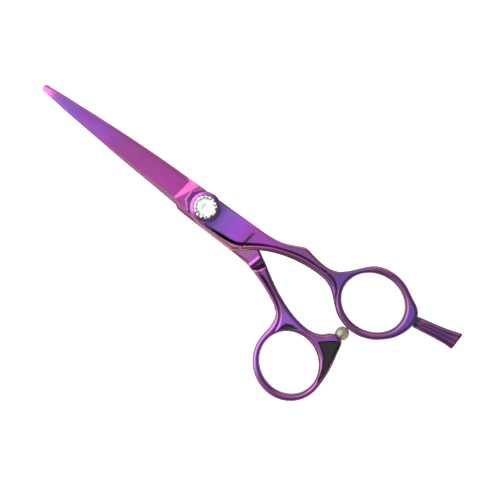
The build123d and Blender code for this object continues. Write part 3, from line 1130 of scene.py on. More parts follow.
@dataclass
class Pivot:
    """What turns about the pivot on top of the finger half: a seat plate, a dial and its stone."""

    plate_corners: Points = ((-6.75, -1.8), (-4.1, -4.45), (3.4, -4.45), (3.4, 4.35), (-3.9, 4.35),
                             (-6.75, 1.5))
    plate_low: float = 5.3
    plate_high: float = 5.76
    plate_dish: float = 5.36
    plate_bevel: float = 0.5
    plate_side: float = 0.22        # drop of the plate's bevel
    plate_slope: float = 2.0        # how far its dished top reaches inwards
    plate_hole: float = 3.7
    plate_points: int = 240
    dial_radius: float = 4.95
    dial_low: float = 5.78
    dial_bore: float = 2.05
    dial_segments: int = 960
    grips: int = 60
    grip_depth: float = 0.09
    grip_rows: tuple[int, ...] = (5, 6, 7)      # points of the dial's profile that the grips cut into
    stone_radius: float = 3.70
    table_radius: float = 2.15
    girdle: float = 8.16
    girdle_height: float = 0.1
    table: float = 8.72
    kite_reach: float = 0.48        # place of the kite tips between the table and the girdle
    kite_drop: float = 0.36         # how far they lie below the table, as a share of the crown
    stone_back: float = 7.36
    # Radius, height, lift and turn of each ring on the stone's back.
    back_rings: Sequence[tuple[float, float, float, float]] = (
        (3.1, 7.62, 0.05, 0.5), (2.2, 7.54, 0.035, 0.0), (1.2, 7.50, 0.025, 0.5))
    foil_gap: float = 0.015
    foil_back: float = 0.035
    foil_inset: float = 0.03

    def build(self) -> list[bpy.types.Object]:
        """Makes the four pieces, each riding on its body in place of its CAD node."""
        return [self.seat_plate(), self.tension_dial(), self.crystal(), self.foil()]

    def seat_plate(self) -> bpy.types.Object:
        """Plate with wide bevels: loops of its corners at five levels, and a round hole.

        Returns:
            The object, riding on its body in place of its CAD node.
        """
        corners = np.array(self.plate_corners)
        hole = Oval((0.0, 0.0), self.plate_hole, self.plate_hole, 0.0)
        levels = ((0.0, self.plate_low), (0.0, self.plate_high - self.plate_side),
                  (self.plate_bevel, self.plate_high), (self.plate_bevel + 0.05, self.plate_high),
                  (self.plate_slope, self.plate_dish))
        loops = []
        for inward, height in levels:
            ring = around(offset_loop(corners, inward), self.plate_points)
            loops.append(np.column_stack([ring, np.full(self.plate_points, height)]))
        inner = hole.at(np.arctan2(loops[-1][:, 1], loops[-1][:, 0]))
        for height in (self.plate_dish, self.plate_low):
            loops.append(np.column_stack([inner, np.full(self.plate_points, height)]))
        shell = Shell("seat_plate")
        shell.add(np.stack(loops), closed_rows=True, closed_columns=True)
        return placed(shell.to_object(18), "finger_half", Slot.DIAL, "seat_plate")

    def tension_dial(self) -> bpy.types.Object:
        """Turned knob: coin-edged side, two-step conical rim, seat for the stone, and hollow back.

        Returns:
            The object, riding on its body in place of its CAD node.
        """
        r, bore, low = self.dial_radius, self.dial_bore, self.dial_low
        profile = [(bore, 6.85), (3.8, 6.85), (3.8, low), (r - 0.12, low), (r, 5.9), (r, 6.05), (r, 6.6),
                   (r, 7.1), (r, 7.35), (r - 0.03, 7.46), (r - 0.1, 7.56), (r - 0.2, 7.63), (r - 0.25, 7.65),
                   (r - 0.28, 7.70), (3.84, 8.07), (3.80, 8.08), (3.77, 8.08), (3.74, 8.05), (3.72, 7.99),
                   (3.72, 7.3), (bore, 7.3)]
        gripped = np.isin(np.arange(len(profile)), self.grip_rows)[:, None]

        def ripple(index: Array, angle: Array) -> Array:
            """Coin edge: rounded ribs, a power of a raised cosine of the angle."""
            rib = (0.5 - 0.5 * np.cos(self.grips * angle)) ** 0.7
            return np.where(gripped[index[:, 0]], -self.grip_depth * rib, 0.0)

        shell = Shell("tension_dial")
        shell.add(lathe(profile, self.dial_segments, ripple), closed_rows=True, closed_columns=True)
        return placed(shell.to_object(28), "dial", Slot.DIAL, "tension_dial")

    def crown(self) -> tuple[Array, Array]:
        """Points and triangles of a brilliant's crown, without its table.

        Eight-fold: table corners at even sixteenths, kite tips between table and girdle at odd
        ones, and sixteen girdle points.

        Returns:
            Points of shape (32, 3), table first and girdle last, and corner numbers of shape (40, 3).
        """
        k = np.arange(8)
        even, odd = STONE_TURN + k * math.pi / 4, STONE_TURN + k * math.pi / 4 + math.pi / 8
        mid = (1 - self.kite_reach) * self.table_radius + self.kite_reach * self.stone_radius
        mid_height = self.table - self.kite_drop * (self.table - self.girdle)
        points = np.concatenate([circle(self.table_radius, even, self.table), circle(mid, odd, mid_height),
                                 circle(self.stone_radius, SIXTEENTHS, self.girdle)])
        following, kite, left, right = (k + 1) % 8, 8 + k, 16 + 2 * k, 16 + (2 * k + 2) % 16
        return points, gathered([(k, kite, following), (k, left, kite), (following, kite, right),
                                 (kite, left, left + 1), (kite, left + 1, right)])

    def crystal(self) -> bpy.types.Object:
        """Cut stone: table, faceted crown, straight girdle, and a faceted back over the foil.

        Returns:
            The object, riding on its body in place of its CAD node.
        """
        points, faces = self.crown()
        shell = Shell("crystal")
        shell.add_faces(points, faces)
        table = np.concatenate([points[:8], [(0, 0, self.table)]])
        k = np.arange(8)
        shell.add_faces(table, gathered([(np.full(8, 8), k, (k + 1) % 8)]))
        rim = points[16:]
        lower = rim - (0, 0, self.girdle_height)
        shell.add(np.stack([rim, lower]), closed_columns=True)
        back, back_faces = self.back(lower, 0.0)
        shell.add_faces(back, back_faces)
        return placed(shell.to_object(1), "dial", Slot.STONE, "crystal")

    def back(self, rim: Array, drop: float) -> tuple[Array, Array]:
        """Faceted underside of the stone: rings of sixteen points at uneven heights, and a centre.

        Neighbouring points of a ring stand alternately high and low, so that each facet tips
        another way and throws its own light.

        Args:
            rim: sixteen points of the girdle's lower edge.
            drop: how far the whole surface is moved down.

        Returns:
            Points of shape (65, 3), rim first and centre last, and corner numbers of shape (112, 3).
        """
        k = np.arange(16)
        rings = [rim - (0, 0, drop)]
        for radius, level, lift, turn in self.back_rings:
            ring = circle(radius, SIXTEENTHS + turn * math.pi / 8, 0.0)
            ring[:, 2] = level + lift * np.where(k % 2 == 0, 1, -1) - drop
            rings.append(ring)
        points = np.concatenate([*rings, [(0, 0, self.stone_back - drop)]])
        faces = []
        for level, shift in ((0, 0), (1, 1), (2, 0)):
            a, b = 16 * level + k, 16 * level + (k + 1) % 16
            c, d = 16 * (level + 1) + (k + shift) % 16, 16 * (level + 1) + (k + shift - 1) % 16
            faces.append(gathered([(a, b, c), (a, c, d)]))
        faces.append(gathered([(np.full(16, 64), 48 + k, 48 + (k + 1) % 16)]))
        return points, np.concatenate(faces)

    def foil(self) -> bpy.types.Object:
        """Mirror foil that follows the stone's back, a hair below it.

        Returns:
            The object, riding on its body in place of its CAD node.
        """
        rim = circle(self.stone_radius - self.foil_inset, SIXTEENTHS, self.girdle - self.girdle_height)
        shell = Shell("crystal_foil")
        faces_of = [self.back(rim, drop) for drop in (self.foil_gap, self.foil_back)]
        for points, faces in faces_of:
            shell.add_faces(points, faces)
        shell.add(np.stack([points[:16] for points, _ in faces_of]), closed_columns=True)
        return placed(shell.to_object(1), "dial", Slot.FOIL, "crystal_foil")


def gathered(corners: Sequence[tuple[Array, Array, Array]]) -> Array:
    """Triangles from their corner numbers.

    Args:
        corners: for each kind of triangle, the three corners of all those round the stone.

    Returns:
        Corner numbers of shape (triangles, 3), going round the stone.
    """
    return np.array(corners).transpose(2, 0, 1).reshape(-1, 3)


def circle(radius: float, angles: Array, height: float) -> Array:
    """Points on a level circle about the Z axis."""
    return np.stack([radius * np.cos(angles), radius * np.sin(angles), np.full(len(angles), height)], 1)


def around(corners: Array, count: int) -> Array:
    """A loop of straight sides with the same number of points on each, every corner kept.

    Args:
        corners: loop of shape (n, 2).
        count: number of points in all, a multiple of n.

    Returns:
        Points of shape (count, 2).
    """
    share = np.linspace(0, 1, count // len(corners), endpoint=False)[None, :, None]
    start, end = corners[:, None, :], np.roll(corners, -1, axis=0)[:, None, :]
    return (start + share * (end - start)).reshape(-1, 2)


def placed(thing: bpy.types.Object, body: str, slot: Slot, *nodes: str) -> bpy.types.Object:
    """Puts a piece on its body and in place of its CAD nodes.

    Args:
        thing: the piece.
        body: the body that it rides on.
        slot: the piece's material slot; not used.
        nodes: the CAD nodes that it stands for.

    Returns:
        The piece.
    """
    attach(thing, body)
    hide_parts(*nodes)
    return thing


# ---------------------------------------------------------------------------------------------
# Finger rest and bumper
# ---------------------------------------------------------------------------------------------


@dataclass
class FingerRest:
    """Tang screwed into the finger ring's boss: a neck, a swelling body and a slanted end."""

    base: tuple[float, float] = (75.25, 10.39)
    end: tuple[float, float] = (90.06, 13.32)
    height: float = 3.0
    start: float = 0.15             # distances along the axis, from the base
    finish: float = 15.1
    neck: float = 1.6               # where the neck's close rows end
    rim: float = 14.4               # where the end's close rows start
    half_width: Rail = Rail([(0.15, 1.86), (1.1, 1.95), (2.2, 2.04), (7.0, 2.2), (11.5, 2.5), (13.4, 2.78),
                             (14.6, 2.95), (15.1, 2.8)])
    half_height: Rail = Rail([(0.15, 1.80), (1.1, 1.86), (2.2, 1.9), (9.0, 1.75), (13.4, 1.55), (14.6, 1.5),
                              (15.1, 1.25)])
    squareness: float = 0.3         # how far the section leaves a plain ellipse
    groove_depth: float = 0.15      # share of the half height
    groove_width: float = 0.34
    groove_shift: float = 0.2
    slant: float = 0.22             # lean of the end across the rest
    bow: float = 0.14               # hollow of the end
    columns: int = 128
    rows: int = 150
    end_rows: int = 30

    def build(self) -> bpy.types.Object:
        """Carries a rounded section, creased along the middle of its top and back, along the axis.

        The section is a superellipse whose half width and half height vary along the axis.

        Returns:
            The object, riding on its body in place of its CAD node.
        """
        close = self.end_rows
        distance = np.concatenate([np.linspace(self.start, self.neck, close),
                                   np.linspace(self.neck, self.rim, self.rows - 2 * close)[1:],
                                   np.linspace(self.rim, self.finish, close + 1)[1:]])
        angle = np.linspace(0, 2 * math.pi, self.columns, endpoint=False)
        c, s = np.cos(angle), np.sin(angle)
        power = 2 / (2 + self.squareness * ease((distance - 1.2) / 2.5))[:, None]
        across = self.half_width(distance)[:, None] * np.sign(c) * np.abs(c) ** power
        up = self.half_height(distance)[:, None] * np.sign(s) * np.abs(s) ** power
        groove = self.groove_depth * ease((distance - self.neck) / 1.2)
        valley = np.exp(-((across + self.groove_shift) / self.groove_width) ** 2)
        up = up * (1 - groove[:, None] * valley)
        shift = self.slant * across - self.bow * (1 - (across / 2.9) ** 2)
        place = distance[:, None] + ease((distance - 12.0) / 3.1)[:, None] * shift
        direction = np.array(self.end) - np.array(self.base)
        ax, ay = direction / np.hypot(*direction)
        x = self.base[0] + place * ax - across * ay
        y = self.base[1] + place * ay + across * ax
        points = np.stack([x, y, self.height + up], -1)
        shell = Shell("finger_rest")
        shell.add(points, closed_columns=True)
        for ring in (points[0], points[-1]):
            shell.add(pole(tuple(ring.mean(0)), ring), closed_columns=True)
        return placed(shell.to_object(40), "rest", Slot.REST, "finger_rest")


@dataclass
class Bumper:
    """Soft round silencer on the horn, flat where it sits."""

    centre: tuple[float, float, float] = (58.93, -6.50, 3.0)
    radius: float = 2.35
    seat: float = -8.2
    pin: float = 0.7
    pin_depth: float = 2.1
    segments: int = 96

    def build(self) -> bpy.types.Object:
        """Turns its profile about its own axis, which lies along Y: ball, rounded rim and pin hole.

        Returns:
            The object, riding on its body in place of its CAD node.
        """
        low = self.seat - self.centre[1]
        cut = math.acos(low / self.radius)
        turn = np.linspace(0, cut - 0.12, 60)
        ball = np.stack([self.radius * np.sin(turn), self.radius * np.cos(turn)], 1)
        rim = self.radius * math.sin(cut)
        foot = [(rim - 0.10, low + 0.02), (rim - 0.2, low), (self.pin, low),
                (self.pin, low + self.pin_depth), (0.0, low + self.pin_depth)]
        turned = lathe(np.concatenate([ball, foot]), self.segments)
        points = np.stack([turned[..., 0], turned[..., 2], turned[..., 1]], -1) + np.array(self.centre)
        shell = Shell("bumper")
        shell.add(points, closed_columns=True)
        return placed(shell.to_object(50), "thumb_half", Slot.BUMPER, "bumper")


# ---------------------------------------------------------------------------------------------
# Finishes
# ---------------------------------------------------------------------------------------------

Colour = tuple[float, float, float]


def opaque(colour: Colour) -> tuple[float, float, float, float]:
    """A colour with full opacity."""
    return (*colour, 1.0)


class Graph:
    """Short way of writing a node tree: each call makes one node and returns its first output."""

    def __init__(self, tree: bpy.types.NodeTree) -> None:
        """Starts writing into a node tree."""
        self.tree = tree

    def feed(self, target: bpy.types.Node, inputs: dict) -> None:
        """Fills a node's inputs.

        Args:
            target: the node.
            inputs: values, or sockets to link, by input name or number.
        """
        for key, value in inputs.items():
            if isinstance(value, bpy.types.NodeSocket):
                self.tree.links.new(value, target.inputs[key])
            else:
                target.inputs[key].default_value = value

    def node(self, kind: str, inputs: dict | None = None, **settings: object) -> bpy.types.Node:
        """Makes a node.

        Args:
            kind: Blender's name for the node's type.
            inputs: values, or sockets to link, by input name or number.
            settings: the node's own fields.

        Returns:
            The node.
        """
        made = self.tree.nodes.new(kind)
        for name, value in settings.items():
            setattr(made, name, value)
        self.feed(made, inputs or {})
        return made

    def math(self, operation: str, a: object, b: object = 0.0, clamp: bool = False) -> bpy.types.NodeSocket:
        """Result of one sum on numbers."""
        return self.node("ShaderNodeMath", {0: a, 1: b}, operation=operation, use_clamp=clamp).outputs[0]

    def place(self) -> bpy.types.NodeSocket:
        """Place of a point in the object's own frame, in metres."""
        return self.node("ShaderNodeTexCoord").outputs["Object"]

    def stretched(self, vector: bpy.types.NodeSocket, scale: Colour) -> bpy.types.NodeSocket:
        """The place multiplied along each axis, which stretches or squeezes a pattern."""
        return self.node("ShaderNodeMapping", {"Vector": vector, "Scale": scale}).outputs[0]

    def noise(self, vector: bpy.types.NodeSocket, scale: float, detail: float = 2.0) -> bpy.types.NodeSocket:
        """Cloudy numbers round a half."""
        inputs = {"Vector": vector, "Scale": scale, "Detail": detail}
        return self.node("ShaderNodeTexNoise", inputs).outputs[0]

    def between(self, value: object, low: float, high: float, to_low: float = 0.0, to_high: float = 1.0,
                smooth: bool = False) -> bpy.types.NodeSocket:
        """A value carried from one range to another and held within it.

        Args:
            value: the value, or its socket.
            low: start of its range.
            high: end of its range.
            to_low: start of the new range.
            to_high: end of the new range.
            smooth: whether the change is a smooth step.

        Returns:
            The socket with the new value.
        """
        return self.node("ShaderNodeMapRange", {0: value, 1: low, 2: high, 3: to_low, 4: to_high},
                         interpolation_type="SMOOTHSTEP" if smooth else "LINEAR").outputs[0]

    def blend(self, share: object, a: object, b: object, kind: str = "MIX") -> bpy.types.NodeSocket:
        """Two colours blended."""
        made = self.node("ShaderNodeMix", {0: share, 6: a, 7: b}, data_type="RGBA", blend_type=kind)
        return made.outputs[2]

    def group(self, tree: bpy.types.NodeTree, inputs: dict) -> bpy.types.Node:
        """Places a shared effect with its own values."""
        return self.node("ShaderNodeGroup", inputs, node_tree=tree)


def effect(name: str, inputs: dict[str, object], outputs: dict[str, str]) -> tuple[Graph, dict, Callable]:
    """Starts a shared effect as a node group.

    Args:
        name: the group's name.
        inputs: starting value of each input; a number makes a value and four numbers a colour.
        outputs: kind of each output, "Float" or "Color".

    Returns:
        The graph, the group's inputs by name, and a call that joins a socket to an output.
    """
    tree = bpy.data.node_groups.new(name, "ShaderNodeTree")
    for key, value in inputs.items():
        kind = "NodeSocketFloat" if isinstance(value, float) else "NodeSocketColor"
        tree.interface.new_socket(name=key, in_out="INPUT", socket_type=kind).default_value = value
    for key, kind in outputs.items():
        tree.interface.new_socket(name=key, in_out="OUTPUT", socket_type=f"NodeSocket{kind}")
    graph = Graph(tree)
    source, sink = graph.node("NodeGroupInput"), graph.node("NodeGroupOutput")
    given = {key: source.outputs[key] for key in inputs}
    return graph, given, lambda key, socket: tree.links.new(socket, sink.inputs[key])


def film_effect() -> bpy.types.NodeTree:
    """Colour of a coating whose thickness wanders: wide clouds and finer mottling.

    The share of the thick colour is the wander times the sum of the wide clouds and a part of the
    fine ones, and the mottling turns it paler or darker by a few hundredths.

    Returns:
        The node group.
    """
    graph, given, give = effect("coating_film", {"Colour": (1, 1, 1, 1), "Thick Colour": (1, 1, 1, 1),
                                                 "Wander": 0.5}, {"Colour": "Color"})
    place = graph.place()
    wide = graph.between(graph.noise(place, 26.0, 1.0), 0.35, 0.65)
    fine = graph.noise(graph.stretched(place, (0.5, 1.4, 1.0)), 260.0, 3.0)
    clouds = graph.math("ADD", wide, graph.math("MULTIPLY", fine, 0.3))
    share = graph.math("MULTIPLY", given["Wander"], clouds, True)
    colour = graph.blend(share, given["Colour"], given["Thick Colour"])
    mottle = graph.between(fine, 0.3, 0.7, 0.94, 1.06)
    grey = graph.node("ShaderNodeCombineXYZ", {0: mottle, 1: mottle, 2: mottle}).outputs[0]
    give("Colour", graph.blend(1.0, colour, grey, "MULTIPLY"))
    return graph.tree


def handling_effect() -> bpy.types.NodeTree:
    """Fine marks of polishing and handling: hairlines along X, a few smears, and their height.

    Returns:
        The node group.
    """
    graph, given, give = effect("handling_marks", {"Roughness": 0.15, "Spread": 0.05},
                                {"Roughness": "Float", "Height": "Float"})
    place = graph.place()
    hair = graph.noise(graph.stretched(place, (0.12, 1.0, 1.0)), 2600.0, 3.0)
    smear = graph.between(graph.noise(place, 90.0, 3.0), 0.45, 0.75, 0.0, 1.0, smooth=True)
    marks = graph.math("ADD", graph.math("MULTIPLY", hair, 0.6), smear)
    change = graph.math("MULTIPLY", graph.math("SUBTRACT", marks, 0.5), given["Spread"])
    give("Roughness", graph.math("ADD", given["Roughness"], change, True))
    give("Height", graph.math("ADD", hair, graph.math("MULTIPLY", graph.noise(place, 420.0, 2.0), 0.5)))
    return graph.tree


def wear_effect() -> bpy.types.NodeTree:
    """Share of worn coating: the most sharply convex edges, broken up by noise.

    Returns:
        The node group.
    """
    graph, given, give = effect("edge_wear", {"Amount": 0.4}, {"Share": "Float"})
    sharp = graph.between(graph.node("ShaderNodeNewGeometry").outputs["Pointiness"], 0.53, 0.62)
    patchy = graph.between(graph.noise(graph.place(), 700.0, 4.0), 0.35, 0.6)
    give("Share", graph.math("MULTIPLY", graph.math("MULTIPLY", sharp, patchy), given["Amount"], True))
    return graph.tree


def turning_effect() -> bpy.types.NodeTree:
    """Fine rings left by a lathe round the Z axis: a wave of the distance from it.

    Returns:
        The node group.
    """
    graph, given, give = effect("turning_rings", {"Pitch": 9000.0}, {"Height": "Float"})
    xyz = graph.node("ShaderNodeSeparateXYZ", {0: graph.place()})
    radius = graph.math("SQRT", graph.math("ADD", graph.math("POWER", xyz.outputs[0], 2.0),
                                           graph.math("POWER", xyz.outputs[1], 2.0)))
    turn = graph.math("SINE", graph.math("MULTIPLY", radius, given["Pitch"]))
    give("Height", graph.math("MULTIPLY", turn, graph.noise(graph.place(), 800.0, 2.0)))
    return graph.tree


@dataclass
class Workshop:
    """The shared effects, built once."""

    film: bpy.types.NodeTree = field(default_factory=film_effect)
    handling: bpy.types.NodeTree = field(default_factory=handling_effect)
    wear: bpy.types.NodeTree = field(default_factory=wear_effect)
    turning: bpy.types.NodeTree = field(default_factory=turning_effect)

    @staticmethod
    def start(name: str) -> tuple[bpy.types.Material, Graph, bpy.types.Node]:
        """A new material with its Principled BSDF joined to the output.

        Args:
            name: the material's name.

        Returns:
            The material, its graph and the Principled BSDF.
        """
        material = bpy.data.materials.new(name)
        material.use_nodes = True
        material.node_tree.nodes.clear()
        graph = Graph(material.node_tree)
        shader = graph.node("ShaderNodeBsdfPrincipled")
        graph.node("ShaderNodeOutputMaterial", {0: shader.outputs[0]})
        return material, graph, shader

    @staticmethod
    def bumped(graph: Graph, shader: bpy.types.Node, height: bpy.types.NodeSocket, depth: float) -> None:
        """Joins a height to the shader's normal; depth is in metres."""
        bump = graph.node("ShaderNodeBump", {"Height": height, "Strength": 1.0, "Distance": depth})
        graph.feed(shader, {"Normal": bump.outputs[0]})


@dataclass(frozen=True)
class CoatedSteel:
    """Mirror-polished coated steel whose colour drifts along X, bare where an edge is honed or worn.

    Each stop is a place along X with the colour of a thin coating there.
    """

    name: str
    stops: Sequence[tuple[float, Colour]]
    thick: Colour
    wander: float = 0.35
    roughness: float = 0.13
    bare: Colour = (0.24, 0.105, 0.15)
    wear: float = 0.35
    masks: bool = False
    # Colour of the painted shade in the hollows.
    shade: Colour = (0.026, 0.026, 0.023)
    # Colour of the painted rosy reflection along edges.
    reflection_rose: Colour = (0.36, 0.135, 0.20)
    turned: bool = False

    def make(self, shop: Workshop) -> bpy.types.Material:
        """Builds the material.

        Args:
            shop: the shared effects.

        Returns:
            The material.
        """
        material, graph, shader = shop.start(self.name)
        x = graph.node("ShaderNodeSeparateXYZ", {0: graph.place()}).outputs[0]
        low, high = self.stops[0][0] * MM, self.stops[-1][0] * MM
        ramp = graph.node("ShaderNodeValToRGB", {0: graph.between(x, low, high)})
        ramp.color_ramp.interpolation = "EASE"
        for index, (at, colour) in enumerate(self.stops):
            place = (at * MM - low) / (high - low)
            elements = ramp.color_ramp.elements
            stop = elements[index] if index < 2 else elements.new(place)
            stop.position = place
            stop.color = opaque(colour)
        film = graph.group(shop.film, {"Colour": ramp.outputs[0], "Thick Colour": opaque(self.thick),
                                       "Wander": self.wander})
        worn = graph.group(shop.wear, {"Amount": self.wear})
        colour = graph.blend(worn.outputs[0], film.outputs[0], opaque(self.bare))
        rough = graph.group(shop.handling, {"Roughness": self.roughness, "Spread": 0.08})
        roughness = rough.outputs["Roughness"]
        if self.masks:
            honed, hollow, warm = (graph.node("ShaderNodeAttribute", attribute_name=name).outputs["Fac"]
                                   for name in ("honed", "hollow", "warm"))
            # Painted rosy reflection, and bare steel on the honed strip.
            colour = graph.blend(honed, graph.blend(warm, colour, opaque(self.reflection_rose)), opaque(self.bare))
            # Painted shade in the hollows.
            colour = graph.blend(hollow, colour, opaque(self.shade))
            roughness = graph.math("ADD", roughness, graph.math("MULTIPLY", hollow, 0.15))
        graph.feed(shader, {"Base Color": colour, "Roughness": roughness, "Metallic": 1.0})
        height = rough.outputs["Height"]
        if self.turned:
            height = graph.math("ADD", height, graph.group(shop.turning, {"Pitch": 60000.0}).outputs[0])
        shop.bumped(graph, shader, height, 1.5e-6)
        return material


@dataclass(frozen=True)
class TurnedMetal:
    """Plain turned metal: rings of the lathe, handling marks and slight stains."""

    name: str
    colour: Colour
    stain: Colour
    roughness: float

    def make(self, shop: Workshop) -> bpy.types.Material:
        """Builds the material.

        Args:
            shop: the shared effects.

        Returns:
            The material.
        """
        material, graph, shader = shop.start(self.name)
        film = graph.group(shop.film, {"Colour": opaque(self.colour), "Thick Colour": opaque(self.stain),
                                       "Wander": 0.5})
        marks = graph.group(shop.handling, {"Roughness": self.roughness, "Spread": 0.12})
        rings = graph.group(shop.turning, {"Pitch": 40000.0})
        graph.feed(shader, {"Base Color": film.outputs[0], "Roughness": marks.outputs["Roughness"],
                            "Metallic": 1.0})
        shop.bumped(graph, shader, graph.math("ADD", rings.outputs[0], marks.outputs["Height"]), 3e-6)
        return material


@dataclass(frozen=True)
class CutGlass:
    """Clear stone with faint cloudiness in its polish."""

    name: str = "stone_glass"

    def make(self, shop: Workshop) -> bpy.types.Material:
        """Builds the material.

        Args:
            shop: the shared effects.

        Returns:
            The material.
        """
        material, graph, shader = shop.start(self.name)
        marks = graph.group(shop.handling, {"Roughness": 0.015, "Spread": 0.02})
        tint = graph.group(shop.film, {"Colour": (0.97, 0.99, 0.98, 1),
                                       "Thick Colour": (0.93, 0.97, 0.95, 1), "Wander": 0.5})
        graph.feed(shader, {"Base Color": tint.outputs[0], "Roughness": marks.outputs["Roughness"],
                            "Transmission Weight": 1.0, "IOR": 1.56})
        return material


@dataclass(frozen=True)
class SilverFoil:
    """Mirror foil behind the stone, finely crinkled, with a ring of sixteen painted dark reflections in its
    silver.
    """

    name: str = "stone_foil"
    # Colour, ring radius and width of the painted dark reflections.
    dark_reflection: Colour = (0.03, 0.035, 0.03)
    spot_ring: float = 2.8 * MM
    spot_width: float = 0.46 * MM

    def make(self, shop: Workshop) -> bpy.types.Material:
        """Builds the material.

        Args:
            shop: the shared effects.

        Returns:
            The material.
        """
        material, graph, shader = shop.start(self.name)
        tint = graph.group(shop.film, {"Colour": (0.93, 0.94, 0.92, 1), "Thick Colour": (0.8, 0.83, 0.8, 1),
                                       "Wander": 0.4})
        marks = graph.group(shop.handling, {"Roughness": 0.05, "Spread": 0.04})
        split = graph.node("ShaderNodeSeparateXYZ", {0: graph.place()})
        x, y = split.outputs[0], split.outputs[1]
        square = graph.math("ADD", graph.math("MULTIPLY", x, x), graph.math("MULTIPLY", y, y))
        radius = graph.math("SQRT", square)
        turns = graph.math("COSINE", graph.math("MULTIPLY", graph.math("ARCTAN2", y, x), 16.0))
        away = graph.math("ABSOLUTE", graph.math("SUBTRACT", radius, self.spot_ring))
        band = graph.math("SUBTRACT", 1.0, graph.math("DIVIDE", away, self.spot_width), True)
        share = graph.math("MULTIPLY", band, graph.between(turns, 0.0, 0.9))
        # Painted dark reflections in a ring of sixteen.
        reflection_spots = graph.between(share, 0.2, 0.5, smooth=True)
        silver = graph.blend(reflection_spots, tint.outputs[0], opaque(self.dark_reflection))
        graph.feed(shader, {"Base Color": silver, "Roughness": marks.outputs["Roughness"], "Metallic": 1.0})
        shop.bumped(graph, shader, graph.noise(graph.place(), 1500.0, 2.0), 4e-6)
        return material


@dataclass(frozen=True)
class SoftRubber:
    """Smoky translucent rubber: a waxy sheen, faint clouds inside and a fine moulded skin."""

    name: str = "bumper_rubber"

    def make(self, shop: Workshop) -> bpy.types.Material:
        """Builds the material.

        Args:
            shop: the shared effects.

        Returns:
            The material.
        """
        material, graph, shader = shop.start(self.name)
        clouds = graph.between(graph.noise(graph.place(), 500.0, 4.0), 0.3, 0.7)
        colour = graph.blend(clouds, (0.34, 0.33, 0.29, 1), (0.55, 0.54, 0.49, 1))
        marks = graph.group(shop.handling, {"Roughness": 0.10, "Spread": 0.10})
        graph.feed(shader, {"Base Color": colour, "Roughness": marks.outputs["Roughness"],
                            "Transmission Weight": 0.8, "IOR": 1.42, "Coat Weight": 0.35,
                            "Coat Roughness": 0.12})
        shop.bumped(graph, shader, graph.noise(graph.place(), 2500.0, 3.0), 6e-6)
        return material


@dataclass(frozen=True)
class MouldedNylon:
    """Thin white washer stock with a fine tooth."""

    name: str = "washer_nylon"

    def make(self, shop: Workshop) -> bpy.types.Material:
        """Builds the material.

        Args:
            shop: the shared effects.

        Returns:
            The material.
        """
        material, graph, shader = shop.start(self.name)
        grime = graph.between(graph.noise(graph.place(), 900.0, 4.0), 0.4, 0.75)
        colour = graph.blend(grime, (0.82, 0.81, 0.76, 1), (0.66, 0.64, 0.58, 1))
        marks = graph.group(shop.handling, {"Roughness": 0.5, "Spread": 0.15})
        graph.feed(shader, {"Base Color": colour, "Roughness": marks.outputs["Roughness"]})
        shop.bumped(graph, shader, graph.noise(graph.place(), 3000.0, 3.0), 5e-6)
        return material


# ---------------------------------------------------------------------------------------------
# Stage
# ---------------------------------------------------------------------------------------------


@dataclass(frozen=True)
class SoftPanel:
    """A soft patch of light far away: full within the inner angle, nothing beyond the outer one.

    Angles are in degrees from its middle.
    """

    towards: Colour
    inner: float
    outer: float
    colour: Colour

    def glow(self, graph: Graph, look: bpy.types.NodeSocket) -> bpy.types.NodeSocket:
        """Its light in each direction: a smooth step of the cosine of the angle from its middle.

        Args:
            graph: the world's graph.
            look: the direction of each ray.

        Returns:
            The socket with the light's colour.
        """
        length = math.sqrt(sum(c * c for c in self.towards))
        unit = tuple(c / length for c in self.towards)
        facing = graph.node("ShaderNodeVectorMath", {0: look, 1: unit}, operation="DOT_PRODUCT")
        none, full = math.cos(math.radians(self.outer)), math.cos(math.radians(self.inner))
        share = graph.between(facing.outputs["Value"], none, full, smooth=True)
        return scaled(graph, self.colour, share)


def scaled(graph: Graph, colour: Colour, share: bpy.types.NodeSocket) -> bpy.types.NodeSocket:
    """A light's colour times a share."""
    return graph.node("ShaderNodeVectorMath", {0: colour, "Scale": share}, operation="SCALE").outputs[0]


